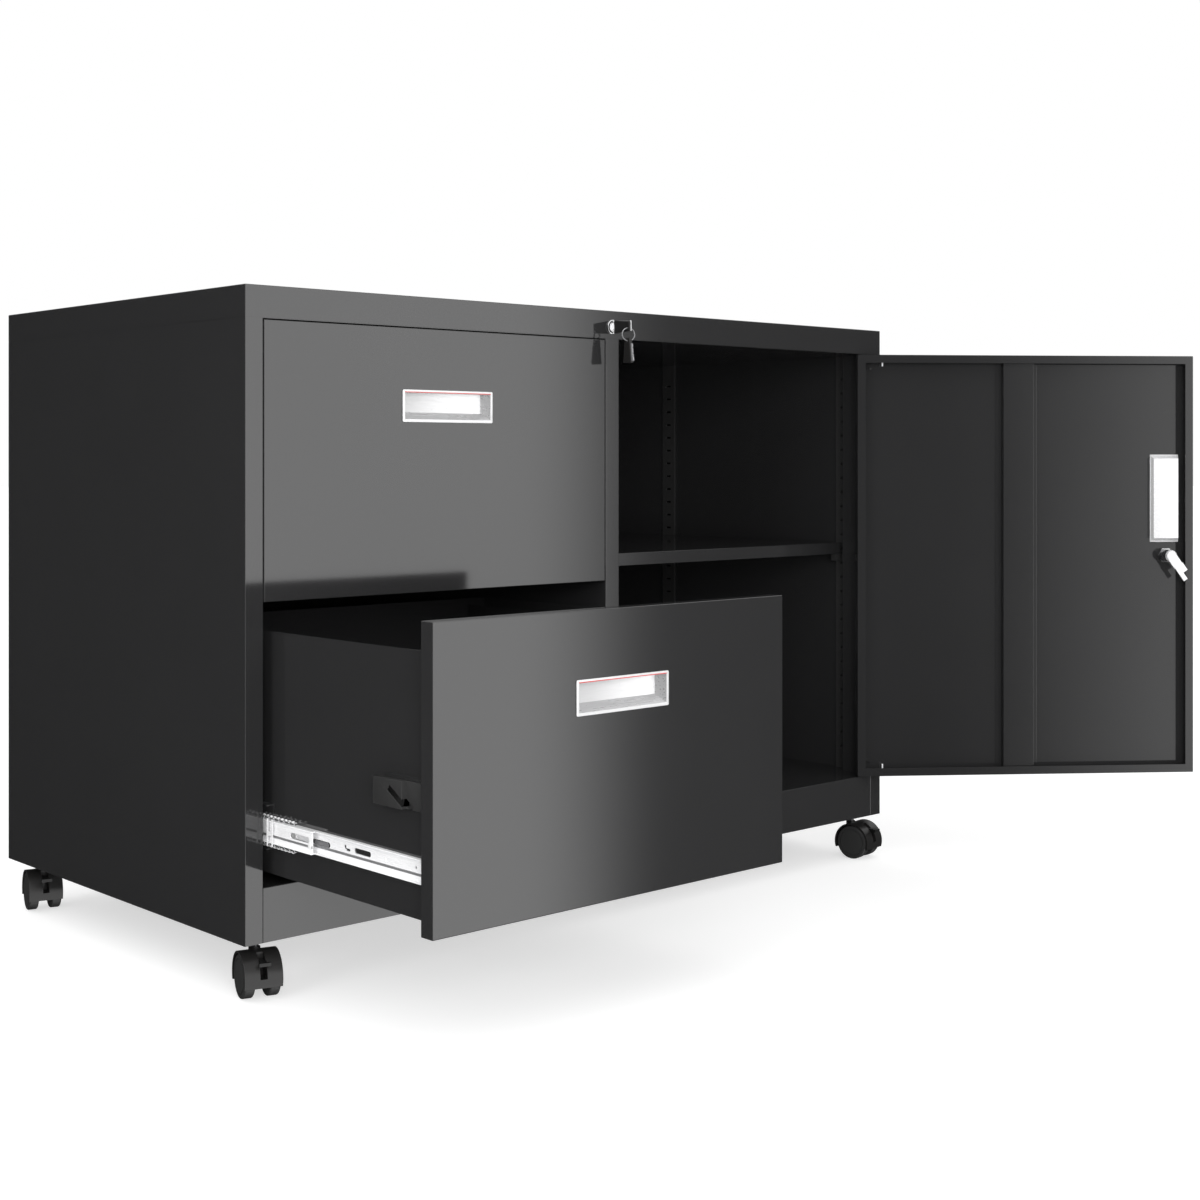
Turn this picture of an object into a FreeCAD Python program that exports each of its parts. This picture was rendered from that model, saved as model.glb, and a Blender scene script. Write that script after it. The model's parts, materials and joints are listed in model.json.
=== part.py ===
import FreeCAD, Part
import math
import os

os.makedirs("parts", exist_ok=True)

# Lengths in millimetres. Seen from the front, x runs to the right, y to the back, z up from the floor.
# The cabinet stands with its lower drawer drawn out and its door swung open.

# Carcass
width = 991.0
depth = 538.0
body_height = 655.0
sheet = 1.0
thin_sheet = 0.8
edge_radius = 0.9
overrun = 5.0
short_overrun = 0.5
match_within = 0.2
cap_height = 32.1
cap_flange = 18.0
seam_inset = 0.4
stile_width = 21.0
stile_return = 48.0
rear_return = 15.0
partition_width = 21.6
drawer_bay = 463.1
plinth_height = 55.0
floor_lip = 20.0

# Gaps round the fronts
side_gap = 0.7
row_gap = 1.2
hinge_gap = 1.5
running_gap = 0.3

# Drawers
lower_pull_out = 276.3
front_depth = 17.1
front_hem = 9.0
box_drop = 10.3
box_above = 28.75
box_length = 468.0
box_rim = 2.4
box_rim_height = 3.0
rail_spacing = 386.0
rail_height = 16.0
rail_thick = 2.4
rail_drop = 8.0
bead_radius = 1.2

# Recessed pulls
pull_length = 122.1
pull_height = 34.4
pull_border = 3.0
pull_proud = 1.2
pull_depth = 13.0
pull_wall = 1.2
pull_corner = 1.5
pull_draft = 4.0
pull_step = 7.0
pull_rise = 199.0
hole_ease = 0.4

# Catch on the left of each drawer
catch_start = 21.0
catch_length = 87.0
catch_height = 25.4
catch_rise = 98.9
catch_plate = 1.2
catch_slot_wide = 7.0
catch_slot_long = 28.0
catch_foot = 8.0
catch_margin = 0.5
catch_slot_slope = 40.0

# Ball-bearing slides
slide_thick = 12.7
slide_gauge = 1.2
slide_rise = 43.4
outer_slide_height = 45.4
outer_slide_flange = 9.5
outer_slide_length = 450.0
mid_slide_height = 35.0
mid_slide_offset = 3.0
mid_slide_flange = 7.5
mid_slide_length = 400.0
mid_slide_start = 38.0
inner_slide_height = 25.0
inner_slide_flange = 5.2
slide_start = 2.4
web_back_set = 1.4
ball_radius = 1.7
ball_pitch = 6.6
outer_ball_count = 20
inner_ball_count = 10
cage_thick = 0.6
cage_width = 4.4
outer_cage_start = 0.5
inner_cage_start = 145.0
slot_long = 26.0
slot_high = 5.2
outer_hole_shares = (0.12, 0.45, 0.8)
inner_hole_shares = (0.16, 0.3)
outer_cage_share = 0.25
inner_cage_share = 0.75
upright_width = 42.0
upright_past_slide = 6.5

# Door
door_depth = 18.0
door_angle = 142.0
door_lip = 10.6
hinge_inset = 10.0
hinge_back_set = 3.4
hinge_pin_radius = 1.8
hinge_pin_length = 24.0
hinge_pin_proud = 3.4
hinge_tail = 9.0
hinge_tail_radius = 1.25
hinge_sleeve = 14.0
hinge_sleeve_wall = 1.2
stiffener_width = 41.6
stiffener_depth = 12.0
stiffener_flange = 8.0
stiffener_from_hinge = 221.5
door_pull_height = 42.5
door_pull_inset = 33.7
door_pull_rise = 371.5
door_lock_inset = 33.0
door_lock_rise = 293.8
door_lock_radius = 8.0
door_lock_bezel = 10.0
door_lock_bezel_thick = 2.0
door_lock_length = 24.0
door_nut_flats = 18.6
door_nut_thick = 5.0
door_cam_length = 37.0
door_cam_width = 13.0
door_cam_thick = 2.0
door_cam_step = 3.0
door_cam_bend = 17.0
door_cam_tip = 10.0
door_cam_tip_width = 6.0
door_cam_angle = 55.0
strike_wide = 12.0
strike_below = 24.0
strike_above = 10.0
plug_radius = 5.4

# Shelf
shelf_rise = 311.0
shelf_edge = 15.4
shelf_front = 62.0
shelf_back_gap = 4.0
shelf_side_gap = 1.6
shelf_edge_radius = 0.7
standard_width = 25.0
standard_depth = 3.0
standard_front_at = 49.0
standard_rear_at = 392.0
standard_pitch = 19.5
standard_slot_wide = 10.0
standard_slot_high = 2.6
standard_first = 28.0
clip_reach = 9.0
clip_width = 9.0
clip_thick = 1.6
clip_height = 12.0

# Central lock in the cap
lock_rise = 13.1
lock_bezel_radius = 8.6
lock_bezel_thick = 2.0
lock_barrel_radius = 7.4
lock_barrel_length = 22.0
lock_cam_length = 12.0
lock_cam_width = 7.0
lock_cam_thick = 2.0
lock_bar_width = 12.0
lock_bar_thick = 3.0
lock_bar_travel = 10.0
key_blade_width = 6.4
key_blade_thick = 2.0
key_blade_length = 18.0
key_blade_show = 3.0
key_head_length = 26.0
key_head_height = 15.6
key_head_end = 11.6
key_head_thick = 5.0
key_edge_radius = 1.4
key_hole_radius = 1.9
key_hole_inset = 3.6
ring_radius = 7.6
ring_wire = 0.6
spare_length = 29.0
spare_top_width = 8.0
spare_bottom_width = 13.6
spare_blade_width = 4.6
spare_blade_thick = 1.6

# Casters
caster_height = 57.0
caster_inset = 28.0
caster_plate_size = 92.0
caster_plate_thick = 2.5
wheel_radius = 22.0
wheel_width = 11.5
wheel_round = 2.0
wheel_groove_radius = 17.6
wheel_groove_wide = 0.9
wheel_groove_deep = 0.8
hood_radius = 25.3
hood_wall = 2.1
hood_width = 39.0
hood_skirt = 14.0
web_width = 13.0
wheel_side_gap = 0.75
axle_radius = 3.0
axle_in_wheel = 6.9
caster_trail = 12.0
stem_radius = 4.2
stem_collar_radius = 7.5
stem_collar_thick = 3.0
stem_socket_depth = 12.0
stem_boss_radius = 6.0
stem_boss_top = 4.0
stem_nut_flats = 17.0
stem_nut_thick = 8.0
stem_above_nut = 3.0
nut_sides = 6
pedal_width = 6.0
pedal_head_width = 12.0
pedal_thick = 3.6
pedal_reach = 18.0
pedal_head_long = 4.0
pedal_back_set = 11.5
pedal_rise = 16.6
pedal_pin_radius = 1.4
pedal_pin_length = 9.6
pedal_pocket_low = 4.6
pedal_pocket_back = 7.5
turn_front_left = -16.7
turn_front_right = 9.0
turn_rear_left = -15.3
turn_rear_right = -24.0

# Planes worked out from the sizes above
left = -width / 2
right = width / 2
front = -depth / 2
back = depth / 2
base = caster_height
top = base + body_height
cap_bottom = top - cap_height
seam = cap_bottom - thin_sheet
floor_top = base + plinth_height
bay_left = left + stile_width
bay_right = bay_left + drawer_bay
cupboard_left = bay_right + partition_width
cupboard_right = right - stile_width
front_height = (seam - floor_top - row_gap * 3) / 2
box_height = front_height - box_drop - box_above
drawer_bottoms = {
    "lower": floor_top + row_gap,
    "upper": floor_top + row_gap * 2 + front_height,
}
drawer_shift = {"lower": -lower_pull_out, "upper": 0.0}
box_left = bay_left + slide_thick
box_right = bay_right - slide_thick
box_front = front + front_depth
slide_front = box_front + slide_start
slide_back = slide_front + outer_slide_length
door_left = cupboard_left + side_gap
door_right = cupboard_right - hinge_gap
door_bottom = floor_top + row_gap
door_top = seam - row_gap
hinge_x = door_right - hinge_inset
hinge_y = front + hinge_back_set
lock_x = bay_right + partition_width / 2
lock_z = cap_bottom + lock_rise

# The frame's origin is the middle of the flat top
to_frame = FreeCAD.Vector(0, 0, -top)


def vec(x, y, z):
    return FreeCAD.Vector(x, y, z)


def block(x0, x1, y0, y1, z0, z1):
    """A box between two corners, given in any order."""
    low = vec(min(x0, x1), min(y0, y1), min(z0, z1))
    return Part.makeBox(abs(x1 - x0), abs(y1 - y0), abs(z1 - z0), low)


def joined(shapes):
    result = shapes[0]
    if len(shapes) > 1:
        result = result.fuse(shapes[1:])
    return result.removeSplitter()


def less(shape, tools):
    return shape.cut(tools).removeSplitter()


def bar(start, end, radius):
    """A round bar from one point to another."""
    run = end - start
    return Part.makeCylinder(radius, run.Length, start, run)


def hexagon(centre, flats, thick, axis):
    """A hexagonal prism, such as a nut."""
    reach = flats / math.sqrt(3)
    points = []
    for step in range(nut_sides):
        turn = math.tau * step / nut_sides
        points.append(vec(reach * math.cos(turn), reach * math.sin(turn), 0))
    prism = Part.Face(Part.makePolygon(points + points[:1])).extrude(vec(0, 0, thick))
    prism.Placement = FreeCAD.Placement(centre, FreeCAD.Rotation(vec(0, 0, 1), axis))
    return prism


def plate(points, thick):
    """A flat plate from its outline, as thick as the given vector."""
    return Part.Face(Part.makePolygon(points + points[:1])).extrude(thick)


def softened(shape, radius, wanted):
    """Rounds the edges that the test picks out."""
    edges = [edge for edge in shape.Edges if edge.Length > radius * 4 and wanted(edge)]
    return shape.makeFillet(radius, edges)


def near(a, b):
    return abs(a - b) < match_within


def lies_in(edge, axis, value):
    """True where a straight edge lies in one plane across the axis."""
    return all(near(getattr(vertex.Point, axis), value) for vertex in edge.Vertexes)


def mirrored(shape, x):
    return shape.mirror(vec(x, 0, 0), vec(1, 0, 0))


def save(name, shapes):
    """Writes one node, of one solid or a group of separate solids."""
    if not isinstance(shapes, list):
        shapes = [shapes]
    shape = shapes[0] if len(shapes) == 1 else Part.makeCompound(shapes)
    shape = shape.copy()
    shape.translate(to_frame)
    shape.exportStep("parts/" + name + ".step")
    print(name, "solids", len(shape.Solids), "volume", round(shape.Volume), "valid", shape.isValid())
    return shape


# Carcass


def top_cap():
    """The box lid: a flat top with a fascia folded down all round."""
    shell = less(
        block(left, right, front, back, cap_bottom, top),
        [
            block(left + sheet, right - sheet, front + sheet, back - sheet,
                  cap_bottom - overrun, top - sheet),
            bar(vec(lock_x, front - overrun, lock_z), vec(lock_x, front + overrun, lock_z),
                lock_barrel_radius + running_gap),
        ],
    )
    corners = [(left, front), (right, front), (left, back), (right, back)]

    def outer(edge):
        middle = edge.CenterOfMass
        on_top = lies_in(edge, "z", top)
        upright = any(near(middle.x, x) and near(middle.y, y) for x, y in corners)
        return on_top or (upright and not lies_in(edge, "z", cap_bottom))

    return softened(shell, edge_radius, outer)


def ceiling_pan():
    """The sheet that closes the carcass under the lid, with its edges folded up inside it."""
    x0, x1 = left + seam_inset, right - seam_inset
    y0, y1 = front + seam_inset, back - seam_inset
    floor = block(x0, x1, y0, y1, seam, cap_bottom)
    inner = sheet + thin_sheet
    wall = block(left + sheet, right - sheet, front + sheet, back - sheet, seam, cap_bottom + cap_flange)
    core = block(left + inner, right - inner, front + inner, back - inner,
                 cap_bottom, cap_bottom + cap_flange + overrun)
    pan = joined([floor, less(wall, [core])])
    pin = bar(vec(hinge_x, hinge_y, seam - overrun), vec(hinge_x, hinge_y, cap_bottom + overrun),
              hinge_pin_radius + running_gap)
    lock_room = block(lock_x - lock_barrel_radius - sheet, lock_x + lock_barrel_radius + sheet,
                      front + short_overrun, front + inner + sheet,
                      cap_bottom, cap_bottom + cap_flange + overrun)
    bar_y = front + lock_barrel_length + lock_cam_thick + running_gap * 2
    slot = block(lock_x - lock_bar_width / 2 - running_gap, lock_x + lock_bar_width / 2 + running_gap,
                 bar_y - running_gap, bar_y + lock_bar_thick + running_gap,
                 seam - overrun, cap_bottom + overrun)
    return less(pan, [pin, lock_room, slot])


def side_panel():
    """The left side: one folded sheet with a front stile, its return and a rear return."""
    skin = block(left, left + sheet, front, back, base, seam)
    stile = block(left, bay_left, front, front + sheet, base, seam)
    above_nut = base + caster_plate_thick + stem_nut_thick + running_gap
    turned = block(bay_left - sheet, bay_left, front, front + stile_return, above_nut, seam)
    rear = block(left, left + rear_return, back - sheet, back, base, seam)
    panel = joined([skin, stile, turned, rear])

    def outer(edge):
        middle = edge.CenterOfMass
        upright = abs(edge.Length - (seam - base)) < overrun
        at_front = near(middle.y, front) and (near(middle.x, left) or near(middle.x, bay_left))
        return upright and (at_front or (near(middle.y, back) and near(middle.x, left)))

    return softened(panel, edge_radius, outer)


def back_panel():
    """The back sheet, seated inside the rear returns."""
    return block(left + sheet, right - sheet, back - sheet - thin_sheet, back - sheet, base, seam)


def partition():
    """The dividing wall: a folded front stile with a skin on each side."""
    rear = back - sheet - thin_sheet
    stile = block(bay_right, cupboard_left, front, front + sheet, floor_top, seam)
    skins = [
        block(bay_right, bay_right + sheet, front, rear, floor_top, seam),
        block(cupboard_left - sheet, cupboard_left, front, rear, floor_top, seam),
    ]
    wall = joined([stile] + skins)

    def outer(edge):
        middle = edge.CenterOfMass
        at_side = near(middle.x, bay_right) or near(middle.x, cupboard_left)
        return at_side and near(middle.y, front) and near(edge.Length, seam - floor_top)

    wall = softened(wall, edge_radius, outer)
    lock_y = front + door_lock_length
    lock_at = door_bottom + door_lock_rise
    strike = block(cupboard_left - sheet * 2, cupboard_left + overrun, lock_y - door_cam_step,
                   lock_y + strike_wide, lock_at - strike_below, lock_at + strike_above)
    return less(wall, [strike])


def base_pan():
    """The floor sheet with the plinth folded down in front, and its other edges folded down inside."""
    rear = back - sheet - thin_sheet
    corner = front + stile_return
    plinth_left, plinth_right = bay_left, cupboard_right
    plate_top = base + caster_plate_thick
    face = block(plinth_left, plinth_right, front, front + sheet, base, floor_top)
    floor = [
        block(plinth_left, plinth_right, front, corner + sheet, floor_top - sheet, floor_top),
        block(left + sheet, right - sheet, corner, rear, floor_top - sheet, floor_top),
    ]
    sides = [
        block(left + sheet, left + sheet * 2, corner, rear, floor_top - floor_lip, floor_top),
        block(right - sheet * 2, right - sheet, corner, rear, floor_top - floor_lip, floor_top),
    ]
    rear_face = block(left + sheet, right - sheet, rear - sheet, rear, plate_top, floor_top)
    pan = joined([face] + floor + sides + [rear_face])
    pin = bar(vec(hinge_x, hinge_y, floor_top - overrun), vec(hinge_x, hinge_y, floor_top + overrun),
              hinge_pin_radius + running_gap)
    pan = less(pan, [pin])

    def outer(edge):
        return lies_in(edge, "z", floor_top) and lies_in(edge, "y", front)

    return softened(pan, edge_radius, outer)


def rear_upright():
    """The channel behind the left side that carries the rear ends of the slides."""
    y1 = slide_back + upright_past_slide
    y0 = y1 - upright_width
    x0, x1 = left + sheet, bay_left
    walls = [
        block(x1 - sheet, x1, y0, y1, floor_top, seam),
        block(x0, x1, y0, y0 + sheet, floor_top, seam),
        block(x0, x1, y1 - sheet, y1, floor_top, seam),
    ]
    return joined(walls)


# Slides


def slide_hole(y, z, x0, x1):
    """A long punched hole in a slide's web."""
    half = (slot_long - slot_high) / 2
    middle = block(x0, x1, y - half, y + half, z - slot_high / 2, z + slot_high / 2)
    ends = [bar(vec(x0, y + side, z), vec(x1, y + side, z), slot_high / 2) for side in (-half, half)]
    return joined([middle] + ends)


def channel(x_web, x_open, y0, y1, z, height):
    """A slide member: a web with two flanges reaching towards the open side."""
    way = 1 if x_open > x_web else -1
    low, high = z - height / 2, z + height / 2
    web = block(x_web, x_web + way * slide_gauge, y0, y1, low, high)
    flanges = [
        block(x_web, x_open, y0, y1, low, low + slide_gauge),
        block(x_web, x_open, y0, y1, high - slide_gauge, high),
    ]
    return joined([web] + flanges)


def outer_slide(z):
    x0 = bay_left
    member = channel(x0, x0 + outer_slide_flange, slide_front, slide_front + outer_slide_length, z,
                     outer_slide_height)
    holes = []
    for share in outer_hole_shares:
        y = slide_front + outer_slide_length * share
        holes.append(slide_hole(y, z, x0 - overrun, x0 + slide_gauge + short_overrun))
    return less(member, holes)


def mid_slide(z, shift):
    """The middle member, of H section, which runs half as far as the drawer."""
    x0 = bay_left + mid_slide_offset
    y0 = slide_front + mid_slide_start + shift / 2
    y1 = y0 + mid_slide_length
    low, high = z - mid_slide_height / 2, z + mid_slide_height / 2
    web_x = x0 + web_back_set
    web = block(web_x, web_x + slide_gauge, y0, y1, low, high)
    flanges = [
        block(x0, x0 + mid_slide_flange, y0, y1, low, low + slide_gauge),
        block(x0, x0 + mid_slide_flange, y0, y1, high - slide_gauge, high),
    ]
    holes = [slide_hole(y0 + slot_long, z, web_x - short_overrun, web_x + slide_gauge + short_overrun)]
    return less(joined([web] + flanges), holes)


def inner_slide(z, shift):
    """The member screwed to the drawer's side."""
    x1 = box_left
    y0 = box_front + shift
    y1 = y0 + outer_slide_length
    member = channel(x1, x1 - inner_slide_flange, y0, y1, z, inner_slide_height)
    holes = []
    for share in inner_hole_shares:
        y = y0 + outer_slide_length * share
        holes.append(slide_hole(y, z, x1 - slide_gauge - short_overrun, x1 + overrun))
    return less(member, holes)


def ball_cage(z, shift, share, inside):
    """A strip of balls above and below a member."""
    if inside:
        low_face = inner_slide_height / 2
        high_face = mid_slide_height / 2 - slide_gauge
        x0 = box_left - inner_slide_flange
        start = inner_cage_start
        count = inner_ball_count
    else:
        low_face = mid_slide_height / 2
        high_face = outer_slide_height / 2 - slide_gauge
        x0 = bay_left + mid_slide_offset + web_back_set
        start = outer_cage_start
        count = outer_ball_count
    rise = (low_face + high_face) / 2
    y0 = slide_front + start + shift * share
    strips = []
    for side in (-1, 1):
        zc = z + side * rise
        strip = block(x0, x0 + cage_width, y0, y0 + ball_pitch * count, zc - cage_thick / 2,
                      zc + cage_thick / 2)
        balls = []
        for step in range(count):
            y = y0 + ball_pitch * (step + 1 / 2)
            balls.append(Part.makeSphere(ball_radius, vec(x0 + cage_width / 2, y, zc)))
        strips.append(joined([strip] + balls))
    return strips


def both_sides(shapes):
    """Adds the copies for the right of the drawer bay."""
    middle = (bay_left + bay_right) / 2
    return shapes + [mirrored(shape, middle) for shape in shapes]


# Drawers


def front_pan(x0, x1, z0, z1, thick, hem):
    """A hollow front: skin, edges folded back and a hem turned in behind."""
    y0, y1 = front, front + thick
    shell = less(
        block(x0, x1, y0, y1, z0, z1),
        [
            block(x0 + sheet, x1 - sheet, y0 + sheet, y1 - sheet, z0 + sheet, z1 - sheet),
            block(x0 + hem, x1 - hem, y0 + sheet, y1 + overrun, z0 + hem, z1 - hem),
        ],
    )

    def outer(edge):
        middle = edge.CenterOfMass
        if lies_in(edge, "y", y0):
            return True
        at_corner = (near(middle.x, x0) or near(middle.x, x1)) and (near(middle.z, z0) or near(middle.z, z1))
        return at_corner and near(edge.Length, thick)

    return softened(shell, edge_radius, outer)


def drawer_front(row):
    x0, x1 = bay_left + side_gap, bay_right - side_gap
    z0 = drawer_bottoms[row]
    pan = front_pan(x0, x1, z0, z0 + front_height, front_depth, front_hem)
    middle = (x0 + x1) / 2
    z = z0 + pull_rise
    long = pull_length / 2 - pull_border + pull_wall + hole_ease
    high = pull_height / 2 - pull_border + pull_wall + hole_ease
    hole = block(middle - long, middle + long, front - overrun, front + overrun, z - high, z + high)
    pan = less(pan, [hole])
    pan.translate(vec(0, drawer_shift[row], 0))
    return pan


def recessed_pull(length, height):
    """A pull about the origin: a raised border and a drafted cup behind it, its length along x."""
    def outline(half_long, low, high, y):
        points = [
            vec(-half_long, y, low), vec(half_long, y, low),
            vec(half_long, y, high), vec(-half_long, y, high),
        ]
        return Part.makePolygon(points + points[:1])

    half, tall = length / 2, height / 2
    in_half, in_tall = half - pull_border, tall - pull_border
    wall = pull_wall
    cup = Part.makeLoft(
        [
            outline(in_half + wall, -in_tall - wall, in_tall + wall, 0),
            outline(in_half + wall - pull_draft, -in_tall - wall + pull_step, in_tall + wall, pull_depth),
        ],
        True, True,
    )
    hollow = Part.makeLoft(
        [
            outline(in_half, -in_tall, in_tall, -pull_proud),
            outline(in_half - pull_draft, -in_tall + pull_step, in_tall, pull_depth - wall),
        ],
        True, True,
    )
    border = block(-half, half, -pull_proud, 0, -tall, tall)
    uprights = [edge for edge in border.Edges if near(edge.Length, pull_proud)]
    border = border.makeFillet(pull_corner, uprights)
    return less(joined([border, cup]), [hollow])


def drawer_pull(row):
    pull = recessed_pull(pull_length, pull_height)
    middle = (bay_left + bay_right) / 2
    pull.translate(vec(middle, front + drawer_shift[row], drawer_bottoms[row] + pull_rise))
    return pull


def drawer_box(row):
    """The open box behind the front, with a hemmed rim."""
    z0 = drawer_bottoms[row] + box_drop
    z1 = z0 + box_height
    y0 = box_front
    y1 = y0 + box_length
    t = thin_sheet
    shell = less(
        block(box_left, box_right, y0, y1, z0, z1),
        [block(box_left + t, box_right - t, y0 + t, y1 - t, z0 + t, z1 + overrun)],
    )
    rims = [
        block(box_left, box_left + box_rim, y0, y1, z1 - box_rim_height, z1),
        block(box_right - box_rim, box_right, y0, y1, z1 - box_rim_height, z1),
        block(box_left, box_right, y1 - box_rim, y1, z1 - box_rim_height, z1),
    ]
    beads = [
        bar(vec(x, y0, z0 + bead_radius), vec(x, y1, z0 + bead_radius), bead_radius)
        for x in (box_left + bead_radius, box_right - bead_radius)
    ]
    box = joined([shell] + rims + beads)
    box.translate(vec(0, drawer_shift[row], 0))
    return box


def file_rails(row):
    """Two rails for hanging folders, between the front and rear walls of the box."""
    z1 = drawer_bottoms[row] + box_drop + box_height - rail_drop
    middle = (box_left + box_right) / 2
    rails = []
    for side in (-1, 1):
        x = middle + side * rail_spacing / 2
        rail = block(x - rail_thick / 2, x + rail_thick / 2, box_front + thin_sheet,
                     box_front + box_length - thin_sheet, z1 - rail_height, z1)
        rail.translate(vec(0, drawer_shift[row], 0))
        rails.append(rail)
    return rails


def drawer_catch(row):
    """The bracket on the box's left side, with a sloping slot in its outer face."""
    z0 = drawer_bottoms[row] + box_drop + catch_rise
    z1 = z0 + catch_height
    x0, x1 = bay_left + catch_margin + side_gap, box_left
    y0 = front + catch_start
    y1 = y0 + catch_length
    t = catch_plate
    body = joined([
        block(x0, x0 + t, y0, y1, z0, z1),
        block(x0, x1, y1 - t, y1, z0, z1),
        block(x0, x1, y0, y1, z0, z0 + t),
        block(x1 - t, x1, y0, y1, z0, z1),
    ])
    centre = vec(x0, (y0 + y1) / 2 - catch_foot, (z0 + z1) / 2 + t)
    slot = block(x0 - overrun, x0 + t + short_overrun,
                 centre.y - catch_slot_long / 2, centre.y + catch_slot_long / 2,
                 centre.z - catch_slot_wide / 2, centre.z + catch_slot_wide / 2)
    slot.rotate(centre, vec(1, 0, 0), catch_slot_slope)
    bracket = less(body, [slot])
    bracket.translate(vec(0, drawer_shift[row], 0))
    return bracket


# Door, built closed and then swung open


def swung(shape):
    shape.rotate(vec(hinge_x, hinge_y, 0), vec(0, 0, 1), door_angle)
    return shape


def door_pan():
    pan = front_pan(door_left, door_right, door_bottom, door_top, door_depth, door_lip)
    x = door_left + door_pull_inset
    z = door_bottom + door_pull_rise
    across = door_pull_height / 2 - pull_border + pull_wall + hole_ease
    along = pull_length / 2 - pull_border + pull_wall + hole_ease
    hole = block(x - across, x + across, front - overrun, front + overrun, z - along, z + along)
    lock_at = vec(door_left + door_lock_inset, front - overrun, door_bottom + door_lock_rise)
    lock_hole = bar(lock_at, lock_at + vec(0, overrun * 2, 0), door_lock_radius + hole_ease)
    reach = hinge_pin_radius + running_gap
    pins = [bar(vec(hinge_x, hinge_y, z_pin - overrun), vec(hinge_x, hinge_y, z_pin + overrun), reach)
            for z_pin in (door_bottom, door_top)]
    return swung(less(pan, [hole, lock_hole] + pins))


def door_stiffener():
    """The hat-shaped channel up the middle of the door's inner side."""
    x1 = door_right - stiffener_from_hinge + stiffener_width / 2
    x0 = x1 - stiffener_width
    y0 = front + sheet
    y1 = y0 + stiffener_depth
    t = thin_sheet
    z0, z1 = door_bottom + sheet, door_top - sheet
    parts = [
        block(x0, x1, y1 - t, y1, z0, z1),
        block(x0, x0 + t, y0, y1, z0, z1),
        block(x1 - t, x1, y0, y1, z0, z1),
        block(x0 - stiffener_flange, x0 + t, y0, y0 + t, z0, z1),
        block(x1 - t, x1 + stiffener_flange, y0, y0 + t, z0, z1),
    ]
    return swung(joined(parts))


def door_pull():
    pull = recessed_pull(pull_length, door_pull_height)
    pull.rotate(vec(0, 0, 0), vec(0, 1, 0), 90)
    pull.translate(vec(door_left + door_pull_inset, front, door_bottom + door_pull_rise))
    return swung(pull)


def door_lock_body():
    """Bezel, barrel and hexagonal nut of the door's cam lock."""
    at = vec(door_left + door_lock_inset, front, door_bottom + door_lock_rise)
    bezel = bar(at - vec(0, door_lock_bezel_thick, 0), at, door_lock_bezel)
    barrel = bar(at, at + vec(0, door_lock_length, 0), door_lock_radius)
    bore = bar(at - vec(0, overrun, 0), at + vec(0, door_lock_length + overrun, 0), plug_radius + running_gap)
    body = less(joined([bezel, barrel]), [bore])
    nut = hexagon(at + vec(0, sheet, 0), door_nut_flats, door_nut_thick, vec(0, 1, 0))
    nut = less(nut, [bar(at, at + vec(0, door_nut_thick * 2, 0), door_lock_radius)])
    return [swung(body), swung(nut)]


def door_lock_cam():
    """The turning plug with its cranked cam behind the door."""
    at = vec(door_left + door_lock_inset, front, door_bottom + door_lock_rise)
    face = at - vec(0, door_lock_bezel_thick, 0)
    cam_y = at.y + door_lock_length + running_gap
    plug = bar(face, vec(at.x, cam_y + door_cam_thick + sheet, at.z), plug_radius)
    keyway = block(at.x - key_blade_thick / 2, at.x + key_blade_thick / 2, face.y - overrun, face.y + overrun,
                   at.z - key_blade_width / 2, at.z + key_blade_width / 2)
    plug = less(plug, [keyway])
    half = door_cam_width / 2
    t = door_cam_thick
    hub = bar(vec(at.x, cam_y, at.z), vec(at.x, cam_y + t, at.z), half)
    arm = block(at.x, at.x + door_cam_bend, cam_y, cam_y + t, at.z - half, at.z + half)
    crank = block(at.x + door_cam_bend - t, at.x + door_cam_bend, cam_y, cam_y + door_cam_step + t,
                  at.z - half, at.z + half)
    tongue = block(at.x + door_cam_bend - t, at.x + door_cam_length - door_cam_tip, cam_y + door_cam_step,
                   cam_y + door_cam_step + t, at.z - half, at.z + half)
    tip = block(at.x + door_cam_bend, at.x + door_cam_length, cam_y + door_cam_step,
                cam_y + door_cam_step + t, at.z + half - door_cam_tip_width, at.z + half)
    cam = joined([hub, arm, crank, tongue, tip])
    cam.rotate(vec(at.x, cam_y, at.z), vec(0, 1, 0), 180 - door_cam_angle)
    return swung(joined([plug, cam]))


def hinge_pins():
    """The upper and lower pivot pins, each with a bent tail."""
    pins = []
    for end, way in ((door_bottom, -1), (door_top, 1)):
        outer = end + way * hinge_pin_proud
        inner = outer - way * hinge_pin_length
        pin = bar(vec(hinge_x, hinge_y, inner), vec(hinge_x, hinge_y, outer), hinge_pin_radius)
        tail_z = inner + way * hinge_pin_radius
        tail = bar(vec(hinge_x, hinge_y, tail_z), vec(hinge_x - hinge_tail, hinge_y + hinge_tail, tail_z),
                   hinge_tail_radius)
        pins.append(swung(joined([pin, tail])))
    return pins


def hinge_sleeves():
    """The blocks inside the door's corners that guide the pins."""
    sleeves = []
    reach = hinge_pin_radius + hinge_sleeve_wall
    y0 = front + sheet
    for end, way in ((door_bottom + sheet, 1), (door_top - sheet, -1)):
        far = end + way * hinge_sleeve
        body = block(hinge_x - reach, door_right - sheet, y0, hinge_y + reach, end, far)
        hole = bar(vec(hinge_x, hinge_y, min(end, far) - overrun),
                   vec(hinge_x, hinge_y, max(end, far) + overrun), hinge_pin_radius + running_gap)
        sleeves.append(swung(less(body, [hole])))
    return sleeves


# Shelf


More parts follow.
